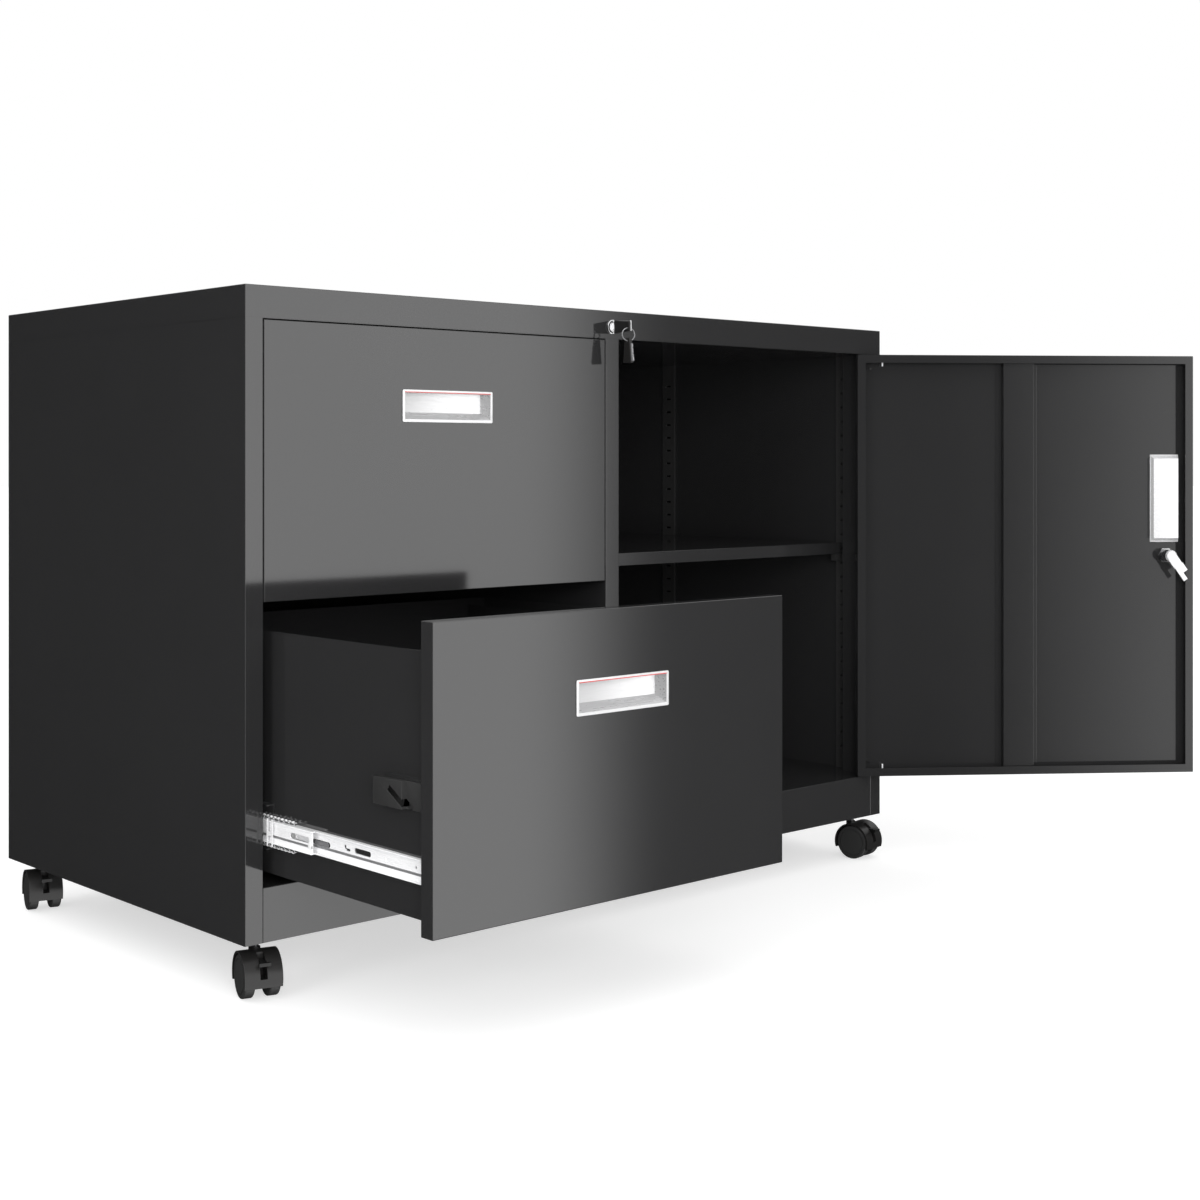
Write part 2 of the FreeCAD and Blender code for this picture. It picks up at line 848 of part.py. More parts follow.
def shelf():
    """The tray shelf with its edges folded down."""
    x0, x1 = cupboard_left + standard_depth + shelf_side_gap, right - sheet - standard_depth - shelf_side_gap
    y0, y1 = front + shelf_front, back - sheet - thin_sheet - shelf_back_gap
    z1 = base + plinth_height + shelf_rise
    z0 = z1 - shelf_edge
    t = thin_sheet
    core = block(x0 + t, x1 - t, y0 + t, y1 - t, z0 - overrun, z1 - t)
    tray = less(block(x0, x1, y0, y1, z0, z1), [core])

    def outer(edge):
        return lies_in(edge, "z", z1) and lies_in(edge, "y", y0)

    return softened(tray, shelf_edge_radius, outer)


def standard_places():
    """The wall face, direction and front edge of each slotted strip."""
    places = []
    for x, way in ((cupboard_left, 1), (right - sheet, -1)):
        for y in (standard_front_at, standard_rear_at):
            places.append((x, way, front + y))
    return places


def shelf_standards():
    strips = []
    for x, way, y in standard_places():
        strip = block(x, x + way * standard_depth, y, y + standard_width, floor_top, seam)
        slots = []
        z = floor_top + standard_first
        while z < seam - standard_first / 2:
            middle = y + standard_width / 2
            slots.append(block(x - way * short_overrun, x + way * (standard_depth + overrun),
                               middle - standard_slot_wide / 2, middle + standard_slot_wide / 2,
                               z, z + standard_slot_high))
            z += standard_pitch
        strips.append(less(strip, slots))
    return strips


def shelf_clips():
    """The four clips hooked in the strips, under the shelf."""
    clips = []
    z1 = base + plinth_height + shelf_rise - thin_sheet
    for x, way, y in standard_places():
        face = x + way * standard_depth
        middle = max(y + standard_width / 2, front + shelf_front + thin_sheet + clip_width / 2 + sheet)
        y0, y1 = middle - clip_width / 2, middle + clip_width / 2
        upright = block(face, face + way * clip_thick, y0, y1, z1 - clip_height * 2, z1 - clip_height)
        foot_out = face + way * (shelf_side_gap + thin_sheet + running_gap)
        foot = block(face, foot_out + way * clip_reach, y0, y1, z1 - clip_height * 2,
                     z1 - clip_height * 2 + clip_thick)
        post = block(foot_out, foot_out + way * clip_reach, y0, y1, z1 - clip_height * 2, z1)
        clips.append(joined([upright, foot, post]))
    return clips


# Central lock


def lock_barrel():
    at = vec(lock_x, front, lock_z)
    bezel = bar(at - vec(0, lock_bezel_thick, 0), at, lock_bezel_radius)
    barrel = bar(at, at + vec(0, lock_barrel_length, 0), lock_barrel_radius)
    body = joined([bezel, barrel])
    body = less(body, [bar(at - vec(0, overrun, 0), at + vec(0, lock_barrel_length + overrun, 0),
                           plug_radius + running_gap)])

    def rim(edge):
        full_round = near(edge.BoundBox.XLength, lock_bezel_radius * 2)
        return full_round and lies_in(edge, "y", front - lock_bezel_thick)

    return softened(body, edge_radius, rim)


def lock_plug():
    """The turning core with its cam behind."""
    at = vec(lock_x, front, lock_z)
    rear = lock_barrel_length + running_gap
    core = bar(at - vec(0, lock_bezel_thick / 2, 0), at + vec(0, rear + lock_cam_thick, 0), plug_radius)
    keyway = block(at.x - key_blade_thick / 2, at.x + key_blade_thick / 2, at.y - overrun,
                   at.y + key_blade_length, at.z - key_blade_width / 2, at.z + key_blade_width / 2)
    core = less(core, [keyway])
    cam = block(at.x, at.x + lock_cam_length, at.y + rear, at.y + rear + lock_cam_thick,
                at.z - lock_cam_width / 2, at.z + lock_cam_width / 2)
    return joined([core, cam])


def lock_bar():
    """The upright bar inside the partition that the cam moves."""
    y0 = front + lock_barrel_length + lock_cam_thick + running_gap * 2
    x0, x1 = lock_x - lock_bar_width / 2, lock_x + lock_bar_width / 2
    bar_top = lock_z + lock_cam_width / 2
    bar_low = floor_top + lock_bar_travel * 2
    strip = block(x0, x1, y0, y0 + lock_bar_thick, bar_low, bar_top)
    tabs = []
    for row in drawer_bottoms:
        z = drawer_bottoms[row] + front_height - lock_bar_travel * 4
        tabs.append(block(x0 - sheet, x0 + sheet, y0, y0 + stile_width, z, z + lock_bar_travel))
    return joined([strip] + tabs)


def key_head_outline(x, y_near, y_far, z_mid, near_high, far_high):
    points = [
        vec(x, y_near, z_mid - near_high / 2), vec(x, y_near, z_mid + near_high / 2),
        vec(x, y_far, z_mid + far_high / 2), vec(x, y_far, z_mid - far_high / 2),
    ]
    return points


def key_hole_at():
    y_far = front - lock_bezel_thick - key_blade_show - key_head_length
    return vec(lock_x, y_far + key_hole_inset, lock_z - key_head_end / 2 + key_hole_inset)


def key_head():
    y_near = front - lock_bezel_thick - key_blade_show
    y_far = y_near - key_head_length
    x0 = lock_x - key_head_thick / 2
    head = plate(key_head_outline(x0, y_near, y_far, lock_z, key_head_height, key_head_end),
                 vec(key_head_thick, 0, 0))
    head = softened(head, key_edge_radius, lambda edge: True)
    hole_at = key_hole_at()
    hole = bar(hole_at - vec(key_head_thick, 0, 0), hole_at + vec(key_head_thick, 0, 0), key_hole_radius)
    return less(head, [hole])


def key_blade():
    y_near = front - lock_bezel_thick - key_blade_show
    ease = running_gap / 3
    return block(lock_x - key_blade_thick / 2 + ease, lock_x + key_blade_thick / 2 - ease, y_near,
                 front + key_blade_length - overrun, lock_z - key_blade_width / 2 + ease,
                 lock_z + key_blade_width / 2 - ease)


def key_ring():
    hole_at = key_hole_at()
    centre = hole_at - vec(0, 0, ring_radius)
    return Part.makeTorus(ring_radius, ring_wire, centre, vec(0, 1, 0))


def spare_key_head():
    """The folded spare key, hung from the ring."""
    hang = key_hole_at() - vec(0, 0, ring_radius * 2)
    z1 = hang.z + key_hole_inset
    z0 = z1 - spare_length
    x0 = hang.x - key_head_thick / 2
    points = [
        vec(x0, hang.y - spare_bottom_width / 2, z0), vec(x0, hang.y + spare_bottom_width / 2, z0),
        vec(x0, hang.y + spare_top_width / 2, z1), vec(x0, hang.y - spare_top_width / 2, z1),
    ]
    head = softened(plate(points, vec(key_head_thick, 0, 0)), key_edge_radius, lambda edge: True)
    hole = bar(hang - vec(key_head_thick, 0, 0), hang + vec(key_head_thick, 0, 0), key_hole_radius)
    return less(head, [hole])


def spare_key_blade():
    hang = key_hole_at() - vec(0, 0, ring_radius * 2)
    z1 = hang.z - key_hole_inset
    z0 = hang.z + key_hole_inset - spare_length
    x0 = hang.x + key_head_thick / 2
    return block(x0, x0 + spare_blade_thick, hang.y - spare_blade_width / 2, hang.y + spare_blade_width / 2,
                 z0 + spare_blade_thick, z1)


# Casters, built about the axle with the pedal towards -y, then turned about the stem


def hood():
    """The hood over both wheels, with the web between them, the stem's boss and the pedal's pocket."""
    half = hood_width / 2
    axis = vec(1, 0, 0)
    start = vec(-half, 0, wheel_radius)
    shell = less(
        Part.makeCylinder(hood_radius, hood_width, start, axis),
        [Part.makeCylinder(hood_radius - hood_wall, hood_width + overrun * 2,
                           start - vec(overrun, 0, 0), axis)],
    )
    web_start = vec(-web_width / 2, 0, wheel_radius)
    web = Part.makeCylinder(hood_radius - hood_wall / 2, web_width, web_start, axis)
    boss_top = wheel_radius + hood_radius
    boss = Part.makeCylinder(stem_boss_radius, stem_boss_top + hood_wall * 4,
                             vec(0, caster_trail, boss_top - stem_boss_top - hood_wall * 4), vec(0, 0, 1))
    body = joined([shell, web, boss])
    big = hood_radius * 2
    pin_at = vec(0, -pedal_back_set, wheel_radius + pedal_rise)
    pin_reach = vec(pedal_pin_length / 2 + running_gap, 0, 0)
    tools = [
        block(-big, big, -big, big, -big, hood_skirt),
        bar(vec(-half, 0, wheel_radius), vec(half, 0, wheel_radius), axle_radius),
        Part.makeCylinder(stem_radius + running_gap, big, vec(0, caster_trail, boss_top - stem_socket_depth),
                          vec(0, 0, 1)),
        block(-pedal_width / 2 - running_gap * 2, pedal_width / 2 + running_gap * 2, -big, -pedal_pocket_back,
              wheel_radius + pedal_pocket_low - pedal_thick, big * 2),
        bar(pin_at - pin_reach, pin_at + pin_reach, pedal_pin_radius + running_gap),
    ]
    return less(body, tools)


def axle():
    reach = web_width / 2 + wheel_side_gap + axle_in_wheel
    return bar(vec(-reach, 0, wheel_radius), vec(reach, 0, wheel_radius), axle_radius)


def wheel(side):
    """One wheel, closed outside, with a ring groove in its face."""
    x_in = side * (web_width / 2 + wheel_side_gap)
    x_out = x_in + side * wheel_width
    disc = bar(vec(x_in, 0, wheel_radius), vec(x_out, 0, wheel_radius), wheel_radius)
    disc = disc.makeFillet(wheel_round, [edge for edge in disc.Edges if edge.BoundBox.XLength < match_within])
    groove = less(
        bar(vec(x_out - side * wheel_groove_deep, 0, wheel_radius),
            vec(x_out + side * overrun, 0, wheel_radius), wheel_groove_radius),
        [bar(vec(x_out - side * overrun, 0, wheel_radius), vec(x_out + side * overrun * 2, 0, wheel_radius),
             wheel_groove_radius - wheel_groove_wide)],
    )
    bore = bar(vec(x_in - side * overrun, 0, wheel_radius),
               vec(x_in + side * (axle_in_wheel + running_gap), 0, wheel_radius), axle_radius + running_gap)
    return less(disc, [groove, bore])


def pedal():
    """The brake pedal, of T shape, on its own pin."""
    pivot = vec(0, -pedal_back_set, wheel_radius + pedal_rise)
    tip = pivot.y - pedal_reach
    half = pedal_width / 2
    arm = block(-half, half, tip, pivot.y, pivot.z - pedal_thick / 2, pivot.z + pedal_thick / 2)
    head = block(-pedal_head_width / 2, pedal_head_width / 2, tip, tip + pedal_head_long,
                 pivot.z - pedal_thick / 2, pivot.z + pedal_thick / 2)
    eye = bar(pivot - vec(half, 0, 0), pivot + vec(half, 0, 0), pedal_thick / 2)
    pin_half = vec(pedal_pin_length / 2, 0, 0)
    pin = bar(pivot - pin_half, pivot + pin_half, pedal_pin_radius)
    return joined([arm, head, eye, pin])


def caster_places():
    x, y = right - caster_inset, back - caster_inset
    return {
        "front_left": (-x, -y, turn_front_left),
        "front_right": (x, -y, turn_front_right),
        "rear_left": (-x, y, turn_rear_left),
        "rear_right": (x, y, turn_rear_right),
    }


def at_corner(shape, place):
    """Moves a piece made about the axle to its stem and turns it there."""
    x, y, turn = place
    shape.translate(vec(x, y - caster_trail, 0))
    shape.rotate(vec(x, y, 0), vec(0, 0, 1), turn)
    return shape


def caster_plates():
    plates = []
    size = caster_plate_size
    for x, y, turn in caster_places().values():
        way_x = 1 if x < 0 else -1
        way_y = 1 if y < 0 else -1
        x0 = left + sheet if x < 0 else right - sheet
        y0 = front + sheet if y < 0 else back - sheet - thin_sheet
        flat = block(x0, x0 + way_x * size, y0, y0 + way_y * size, base, base + caster_plate_thick)
        hole = bar(vec(x, y, base - overrun), vec(x, y, base + overrun), stem_radius)
        plates.append(less(flat, [hole]))
    return plates


def caster_stems():
    """Stem with its collar under the plate, and the nut above."""
    pieces = []
    low = wheel_radius + hood_radius - stem_socket_depth + running_gap
    for x, y, turn in caster_places().values():
        nut_z = base + caster_plate_thick
        stem = bar(vec(x, y, low), vec(x, y, nut_z + stem_nut_thick + stem_above_nut), stem_radius)
        collar = bar(vec(x, y, base - stem_collar_thick), vec(x, y, base), stem_collar_radius)
        pieces.append(joined([stem, collar]))
        nut = hexagon(vec(x, y, nut_z), stem_nut_flats, stem_nut_thick, vec(0, 0, 1))
        pieces.append(less(nut, [bar(vec(x, y, base), vec(x, y, nut_z + overrun * 4), stem_radius)]))
    return pieces


def build():
    save("top_cap", top_cap())
    save("ceiling_pan", ceiling_pan())
    side = side_panel()
    save("side_panel_left", side)
    save("side_panel_right", mirrored(side, 0))
    save("back_panel", back_panel())
    save("partition", partition())
    save("base_pan", base_pan())
    save("rear_upright", rear_upright())
    save("caster_plates", caster_plates())
    save("caster_stems", caster_stems())
    outers = []
    for row in drawer_bottoms:
        shift = drawer_shift[row]
        slide_z = drawer_bottoms[row] + box_drop + slide_rise
        outers += both_sides([outer_slide(slide_z)])
        save("slide_mids_" + row, both_sides([mid_slide(slide_z, shift)]))
        save("slide_inners_" + row, both_sides([inner_slide(slide_z, shift)]))
        save("ball_cages_outer_" + row, both_sides(ball_cage(slide_z, shift, outer_cage_share, False)))
        save("ball_cages_inner_" + row, both_sides(ball_cage(slide_z, shift, inner_cage_share, True)))
        save("drawer_front_" + row, drawer_front(row))
        save("drawer_pull_" + row, drawer_pull(row))
        save("drawer_box_" + row, drawer_box(row))
        save("file_rails_" + row, file_rails(row))
        save("drawer_catch_" + row, drawer_catch(row))
    save("slide_outers", outers)
    save("door_pan", door_pan())
    save("door_stiffener", door_stiffener())
    save("door_pull", door_pull())
    save("door_lock_body", door_lock_body())
    save("door_lock_cam", door_lock_cam())
    save("hinge_pins", hinge_pins())
    save("hinge_sleeves", hinge_sleeves())
    save("shelf", shelf())
    save("shelf_standards", shelf_standards())
    save("shelf_clips", shelf_clips())
    save("lock_barrel", lock_barrel())
    save("lock_plug", lock_plug())
    save("lock_bar", lock_bar())
    save("key_head", key_head())
    save("key_blade", key_blade())
    save("key_ring", key_ring())
    save("spare_key_head", spare_key_head())
    save("spare_key_blade", spare_key_blade())
    for name, place in caster_places().items():
        save("caster_hood_" + name, [at_corner(hood(), place), at_corner(axle(), place)])
        save("caster_wheels_" + name, [at_corner(wheel(-1), place), at_corner(wheel(1), place)])
        save("caster_pedal_" + name, at_corner(pedal(), place))


build()
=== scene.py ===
import bmesh
import bpy
import json
import math
from mathutils import Matrix, Vector

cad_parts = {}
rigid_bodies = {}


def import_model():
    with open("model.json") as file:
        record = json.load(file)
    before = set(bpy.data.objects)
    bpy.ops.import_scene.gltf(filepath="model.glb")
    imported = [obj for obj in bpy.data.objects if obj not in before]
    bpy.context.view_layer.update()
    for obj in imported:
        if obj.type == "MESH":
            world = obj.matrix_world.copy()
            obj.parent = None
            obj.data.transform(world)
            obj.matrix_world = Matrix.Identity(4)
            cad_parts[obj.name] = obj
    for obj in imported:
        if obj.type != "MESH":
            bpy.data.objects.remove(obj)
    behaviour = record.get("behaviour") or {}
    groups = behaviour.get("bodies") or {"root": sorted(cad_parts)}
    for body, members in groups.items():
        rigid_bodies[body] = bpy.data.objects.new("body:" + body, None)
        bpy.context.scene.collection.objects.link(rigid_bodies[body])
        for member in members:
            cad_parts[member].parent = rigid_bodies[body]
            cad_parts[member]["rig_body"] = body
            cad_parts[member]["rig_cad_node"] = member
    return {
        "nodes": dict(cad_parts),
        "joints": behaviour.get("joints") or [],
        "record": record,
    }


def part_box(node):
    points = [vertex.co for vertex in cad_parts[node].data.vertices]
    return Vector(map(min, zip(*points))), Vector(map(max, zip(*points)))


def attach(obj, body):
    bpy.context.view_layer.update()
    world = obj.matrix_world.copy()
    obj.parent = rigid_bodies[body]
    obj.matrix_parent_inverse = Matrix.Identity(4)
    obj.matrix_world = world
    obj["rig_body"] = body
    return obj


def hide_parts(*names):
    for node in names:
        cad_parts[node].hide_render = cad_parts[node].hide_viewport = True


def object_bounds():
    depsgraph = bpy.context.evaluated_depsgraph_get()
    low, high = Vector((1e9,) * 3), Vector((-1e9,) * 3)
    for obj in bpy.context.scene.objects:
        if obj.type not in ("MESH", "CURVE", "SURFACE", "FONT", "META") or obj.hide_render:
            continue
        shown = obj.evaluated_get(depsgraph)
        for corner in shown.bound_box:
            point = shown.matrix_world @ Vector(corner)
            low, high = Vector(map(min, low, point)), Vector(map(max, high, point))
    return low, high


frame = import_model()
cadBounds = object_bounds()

# The camera stands where the photograph's own lines put it: level, with the view lowered by its shift.
viewpoint = {
    "place": (-1.4408, -1.8191, -0.1720),
    "turn": -42.505,
    "sensor": 36.0,
    "lens": 54.152,
    "shiftDown": 0.11858,
    "nearest": 0.05,
    "farthest": 200.0,
}

studio = {
    "floorTint": (0.62, 0.62, 0.62),
    "floorLift": 0.58,          # what the camera adds to the lit floor, so that it meets the white background
    "floorSize": 60.0,
    "panelLevel": 2.1,          # the wide soft light in front, as a share of white
    "panelRightEdge": 42.3,     # degrees from straight in front, towards +X
    "panelRightSoft": 2.3,
    "panelLeftEdge": -15.4,
    "panelLeftSoft": 7.5,
    "rightLevel": 0.085,
    "leftLevel": 0.02,
    "sidesSoft": 30.0,          # degrees each way over which the left level turns into the right one
    "overheadLevel": 1.35,
    "overheadFrom": 0.28,       # sine of the height where the light overhead starts
    "overheadTo": 0.62,
}

# Two large soft lamps, the first so that the inside of the cupboard isn't lost.
lamps = (
    {"name": "frontLamp", "place": (-1.6, -2.6, 0.1), "aim": (0.1, 0.0, -0.35), "power": 46.0, "size": 1.3},
    {"name": "leftLamp", "place": (-3.0, -0.9, 0.2), "aim": (-0.4, 0.0, -0.35), "power": 22.0, "size": 1.3},
)


def addCamera():
    bpy.ops.object.select_all(action="DESELECT")
    bpy.ops.object.camera_add(location=viewpoint["place"],
                              rotation=(math.pi / 2, 0, math.radians(viewpoint["turn"])))
    camera = bpy.context.object
    camera.name = "photoCamera"
    camera.data.sensor_width = viewpoint["sensor"]
    camera.data.lens = viewpoint["lens"]
    camera.data.shift_y = -viewpoint["shiftDown"]
    camera.data.clip_start = viewpoint["nearest"]
    camera.data.clip_end = viewpoint["farthest"]
    bpy.context.scene.camera = camera


def addLamp(values):
    bpy.ops.object.select_all(action="DESELECT")
    bpy.ops.object.light_add(type="AREA", location=values["place"])
    lamp = bpy.context.object
    lamp.name = values["name"]
    lamp.data.energy = values["power"]
    lamp.data.size = values["size"]
    aim = Vector(values["aim"]) - Vector(values["place"])
    lamp.rotation_euler = aim.to_track_quat("-Z", "Y").to_euler()
    lamp.visible_glossy = False
    lamp.visible_camera = False


def link(tree, outSocket, inSocket):
    tree.links.new(outSocket, inSocket)


def node(tree, kind, **settings):
    made = tree.nodes.new(kind)
    for name, value in settings.items():
        setattr(made, name, value)
    return made


def mathNode(tree, operation, *values):
    made = node(tree, "ShaderNodeMath", operation=operation)
    for socket, value in zip(made.inputs, values):
        if isinstance(value, float):
            socket.default_value = value
        else:
            link(tree, value, socket)
    return made.outputs[0]


def softStep(tree, value, start, end, low=0.0, high=1.0):
    made = node(tree, "ShaderNodeMapRange", interpolation_type="SMOOTHSTEP")
    link(tree, value, made.inputs["Value"])
    made.inputs["From Min"].default_value = start
    made.inputs["From Max"].default_value = end
    made.inputs["To Min"].default_value = low
    made.inputs["To Max"].default_value = high
    return made.outputs[0]


# One shader for what the camera sees itself and another for all other rays.
def cameraMix(tree, others, seen):
    mix = node(tree, "ShaderNodeMixShader")
    link(tree, node(tree, "ShaderNodeLightPath").outputs["Is Camera Ray"], mix.inputs[0])
    link(tree, others.outputs[0], mix.inputs[1])
    link(tree, seen.outputs[0], mix.inputs[2])
    return mix.outputs[0]


def addWorld():
    world = bpy.context.scene.world or bpy.data.worlds.new("studio")
    bpy.context.scene.world = world
    world.use_nodes = True
    tree = world.node_tree
    tree.nodes.clear()
    split = node(tree, "ShaderNodeSeparateXYZ")
    link(tree, node(tree, "ShaderNodeTexCoord").outputs["Generated"], split.inputs[0])
    toFront = mathNode(tree, "MULTIPLY", split.outputs["Y"], -1.0)
    angle = mathNode(tree, "DEGREES", mathNode(tree, "ARCTAN2", split.outputs["X"], toFront))
    rightEdge, rightSoft = studio["panelRightEdge"], studio["panelRightSoft"]
    leftEdge, leftSoft = studio["panelLeftEdge"], studio["panelLeftSoft"]
    offRight = softStep(tree, angle, rightEdge - rightSoft, rightEdge + rightSoft, 1.0, 0.0)
    onLeft = softStep(tree, angle, leftEdge - leftSoft, leftEdge + leftSoft)
    panel = mathNode(tree, "MULTIPLY", mathNode(tree, "MULTIPLY", offRight, onLeft), studio["panelLevel"])
    sides = softStep(tree, angle, -studio["sidesSoft"], studio["sidesSoft"],
                     studio["leftLevel"], studio["rightLevel"])
    around = mathNode(tree, "ADD", panel, sides)
    overhead = softStep(tree, split.outputs["Z"], studio["overheadFrom"], studio["overheadTo"])
    notOverhead = mathNode(tree, "SUBTRACT", 1.0, overhead)
    level = mathNode(tree, "ADD", mathNode(tree, "MULTIPLY", around, notOverhead),
                     mathNode(tree, "MULTIPLY", overhead, studio["overheadLevel"]))
    lit = node(tree, "ShaderNodeBackground")
    link(tree, level, lit.inputs["Strength"])
    seen = node(tree, "ShaderNodeBackground")
    seen.inputs["Color"].default_value = (1, 1, 1, 1)
    seen.inputs["Strength"].default_value = 1.0
    link(tree, cameraMix(tree, lit, seen), node(tree, "ShaderNodeOutputWorld").inputs["Surface"])


def addFloor():
    bpy.ops.object.select_all(action="DESELECT")
    floorLevel = cadBounds[0][2]
    bpy.ops.mesh.primitive_plane_add(size=studio["floorSize"], location=(0, 0, floorLevel))
    floor = bpy.context.object
    floor.name = "studioFloor"
    floor.visible_glossy = False
    material = bpy.data.materials.new("paleFloor")
    material.use_nodes = True
    tree = material.node_tree
    tree.nodes.clear()
    plain = node(tree, "ShaderNodeBsdfDiffuse")
    plain.inputs["Color"].default_value = (*studio["floorTint"], 1)
    glow = node(tree, "ShaderNodeEmission")
    glow.inputs["Strength"].default_value = studio["floorLift"]
    both = node(tree, "ShaderNodeAddShader")
    link(tree, plain.outputs[0], both.inputs[0])
    link(tree, glow.outputs[0], both.inputs[1])
    link(tree, cameraMix(tree, plain, both), node(tree, "ShaderNodeOutputMaterial").inputs["Surface"])
    floor.data.materials.append(material)


# Finishes

enamel = {
    "tint": (0.0235, 0.0235, 0.024),
    "tintShift": 0.12,
    "roughness": 0.075,
    "roughnessShift": 0.02,
    "peelSize": 420.0,
    "peelDepth": 0.000004,
    "ior": 1.75,
}
bracketPaint = {
    "tint": (0.032, 0.032, 0.032),
    "tintShift": 0.15,
    "roughness": 0.32,
    "roughnessShift": 0.05,
    "peelSize": 900.0,
    "peelDepth": 0.00003,
    "ior": 1.5,
}
hoodPlastic = {
    "tint": (0.0145, 0.014, 0.0138),
    "tintShift": 0.1,
    "roughness": 0.30,
    "roughnessShift": 0.06,
    "peelSize": 1500.0,
    "peelDepth": 0.00002,
    "ior": 1.5,
}
treadNylon = {
    "tint": (0.034, 0.034, 0.034),
    "tintShift": 0.12,
    "roughness": 0.45,
    "roughnessShift": 0.08,
    "peelSize": 1100.0,
    "peelDepth": 0.00003,
    "ior": 1.5,
}
# The thin red line along the upper lip of the drawer pulls
lipSeal = {
    "tint": (0.60, 0.10, 0.10),
    "tintShift": 0.1,
    "roughness": 0.4,
    "roughnessShift": 0.05,
    "peelSize": 900.0,
    "peelDepth": 0.00001,
    "ior": 1.5,
}
pedalPlastic = {
    "tint": (0.007, 0.007, 0.007),
    "tintShift": 0.1,
    "roughness": 0.38,
    "roughnessShift": 0.05,
    "peelSize": 1500.0,
    "peelDepth": 0.00002,
    "ior": 1.5,
}
standardPaint = {
    "tint": (0.036, 0.036, 0.036),
    "tintShift": 0.15,
    "roughness": 0.30,
    "roughnessShift": 0.05,
    "peelSize": 900.0,
    "peelDepth": 0.00001,
    "ior": 1.6,
}
# Near black: painted shade for the strips behind the standards' slots
slotShade = {
    "tint": (0.0015, 0.0015, 0.0015),
    "tintShift": 0.1,
    "roughness": 0.9,
    "roughnessShift": 0.05,
    "peelSize": 900.0,
    "peelDepth": 0.00001,
    "ior": 1.3,
}
leverPlastic = {
    "tint": (0.16, 0.16, 0.165),
    "tintShift": 0.1,
    "roughness": 0.35,
    "roughnessShift": 0.05,
    "peelSize": 900.0,
    "peelDepth": 0.00001,
    "ior": 1.5,
}
pullPlate = {
    "tint": (0.86, 0.86, 0.865),
    "metallic": 0.45,
    "roughness": 0.32,
    "grainStretch": (0.06, 1.0, 1.0),
    "grainDepth": 0.00001,
}
# Painted shade on the cup's walls: the pull's plate, darker
cupPlate = {
    "tint": (0.62, 0.62, 0.625),
    "metallic": 0.60,
    "roughness": 0.30,
    "grainStretch": (0.03, 0.4, 0.4),
    "grainDepth": 0.000006,
}
# A darker plate: painted shade in the slides' pressed grooves, and the own darker metal of the key ring and
# the spare key's blade
groovePlate = {
    "tint": (0.40, 0.40, 0.41),
    "metallic": 0.50,
    "roughness": 0.35,
    "grainStretch": (1.0, 0.05, 1.0),
    "grainDepth": 0.000004,
}
brightPlate = {
    "tint": (0.93, 0.93, 0.94),
    "metallic": 1.0,
    "roughness": 0.16,
    "grainStretch": (1.0, 1.0, 1.0),
    "grainDepth": 0.00001,
}
zincPlate = {
    "tint": (0.97, 0.97, 0.98),
    "metallic": 0.10,
    "roughness": 0.26,
    "grainStretch": (1.0, 0.05, 1.0),
    "grainDepth": 0.000004,
}
darkPlate = {
    "tint": (0.20, 0.20, 0.205),
    "metallic": 0.9,
    "roughness": 0.30,
    "grainStretch": (1.0, 1.0, 1.0),
    "grainDepth": 0.000008,
}

# What the paints and plastics share: slow clouds of tint and roughness, and a fine peel
mottling = {
    "cloudSize": 9.0,
    "cloudDetail": 4.0,
    "peelDetail": 2.0,
    "inputs": {"Tint Shift": "tintShift", "Roughness": "roughness", "Roughness Shift": "roughnessShift",
               "Peel Size": "peelSize", "Peel Depth": "peelDepth"},
}
# What the metals share: a fine grain, and how far it darkens and roughens them
grain = {"size": 900.0, "detail": 3.0, "from": 0.2, "to": 0.8, "darkest": 0.94, "roughnessSpread": 0.05}


def mottleGroup():
    tree = bpy.data.node_groups.new("stovedMottle", "ShaderNodeTree")
    tree.interface.new_socket("Tint", in_out="INPUT", socket_type="NodeSocketColor")
    for name in mottling["inputs"]:
        tree.interface.new_socket(name, in_out="INPUT", socket_type="NodeSocketFloat")
    tree.interface.new_socket("Color", in_out="OUTPUT", socket_type="NodeSocketColor")
    tree.interface.new_socket("Roughness", in_out="OUTPUT", socket_type="NodeSocketFloat")
    tree.interface.new_socket("Normal", in_out="OUTPUT", socket_type="NodeSocketVector")
    inside = node(tree, "NodeGroupInput")
    outside = node(tree, "NodeGroupOutput")
    place = node(tree, "ShaderNodeTexCoord").outputs["Object"]
    clouds = node(tree, "ShaderNodeTexNoise")
    clouds.inputs["Scale"].default_value = mottling["cloudSize"]
    clouds.inputs["Detail"].default_value = mottling["cloudDetail"]
    link(tree, place, clouds.inputs["Vector"])
    centred = mathNode(tree, "SUBTRACT", clouds.outputs["Fac"], 0.5)
    lighter = mathNode(tree, "ADD", mathNode(tree, "MULTIPLY", centred, inside.outputs["Tint Shift"]), 1.0)
    tint = node(tree, "ShaderNodeVectorMath", operation="SCALE")
    link(tree, inside.outputs["Tint"], tint.inputs[0])
    link(tree, lighter, tint.inputs["Scale"])
    link(tree, tint.outputs[0], outside.inputs["Color"])
    rough = mathNode(tree, "ADD", mathNode(tree, "MULTIPLY", centred, inside.outputs["Roughness Shift"]),
                     inside.outputs["Roughness"])
    link(tree, rough, outside.inputs["Roughness"])
    peel = node(tree, "ShaderNodeTexNoise")
    peel.inputs["Detail"].default_value = mottling["peelDetail"]
    link(tree, place, peel.inputs["Vector"])
    link(tree, inside.outputs["Peel Size"], peel.inputs["Scale"])
    bump = node(tree, "ShaderNodeBump")
    link(tree, peel.outputs["Fac"], bump.inputs["Height"])
    link(tree, inside.outputs["Peel Depth"], bump.inputs["Distance"])
    link(tree, bump.outputs[0], outside.inputs["Normal"])
    return tree


def principled(name):
    material = bpy.data.materials.new(name)
    material.use_nodes = True
    tree = material.node_tree
    return material, tree, tree.nodes["Principled BSDF"]


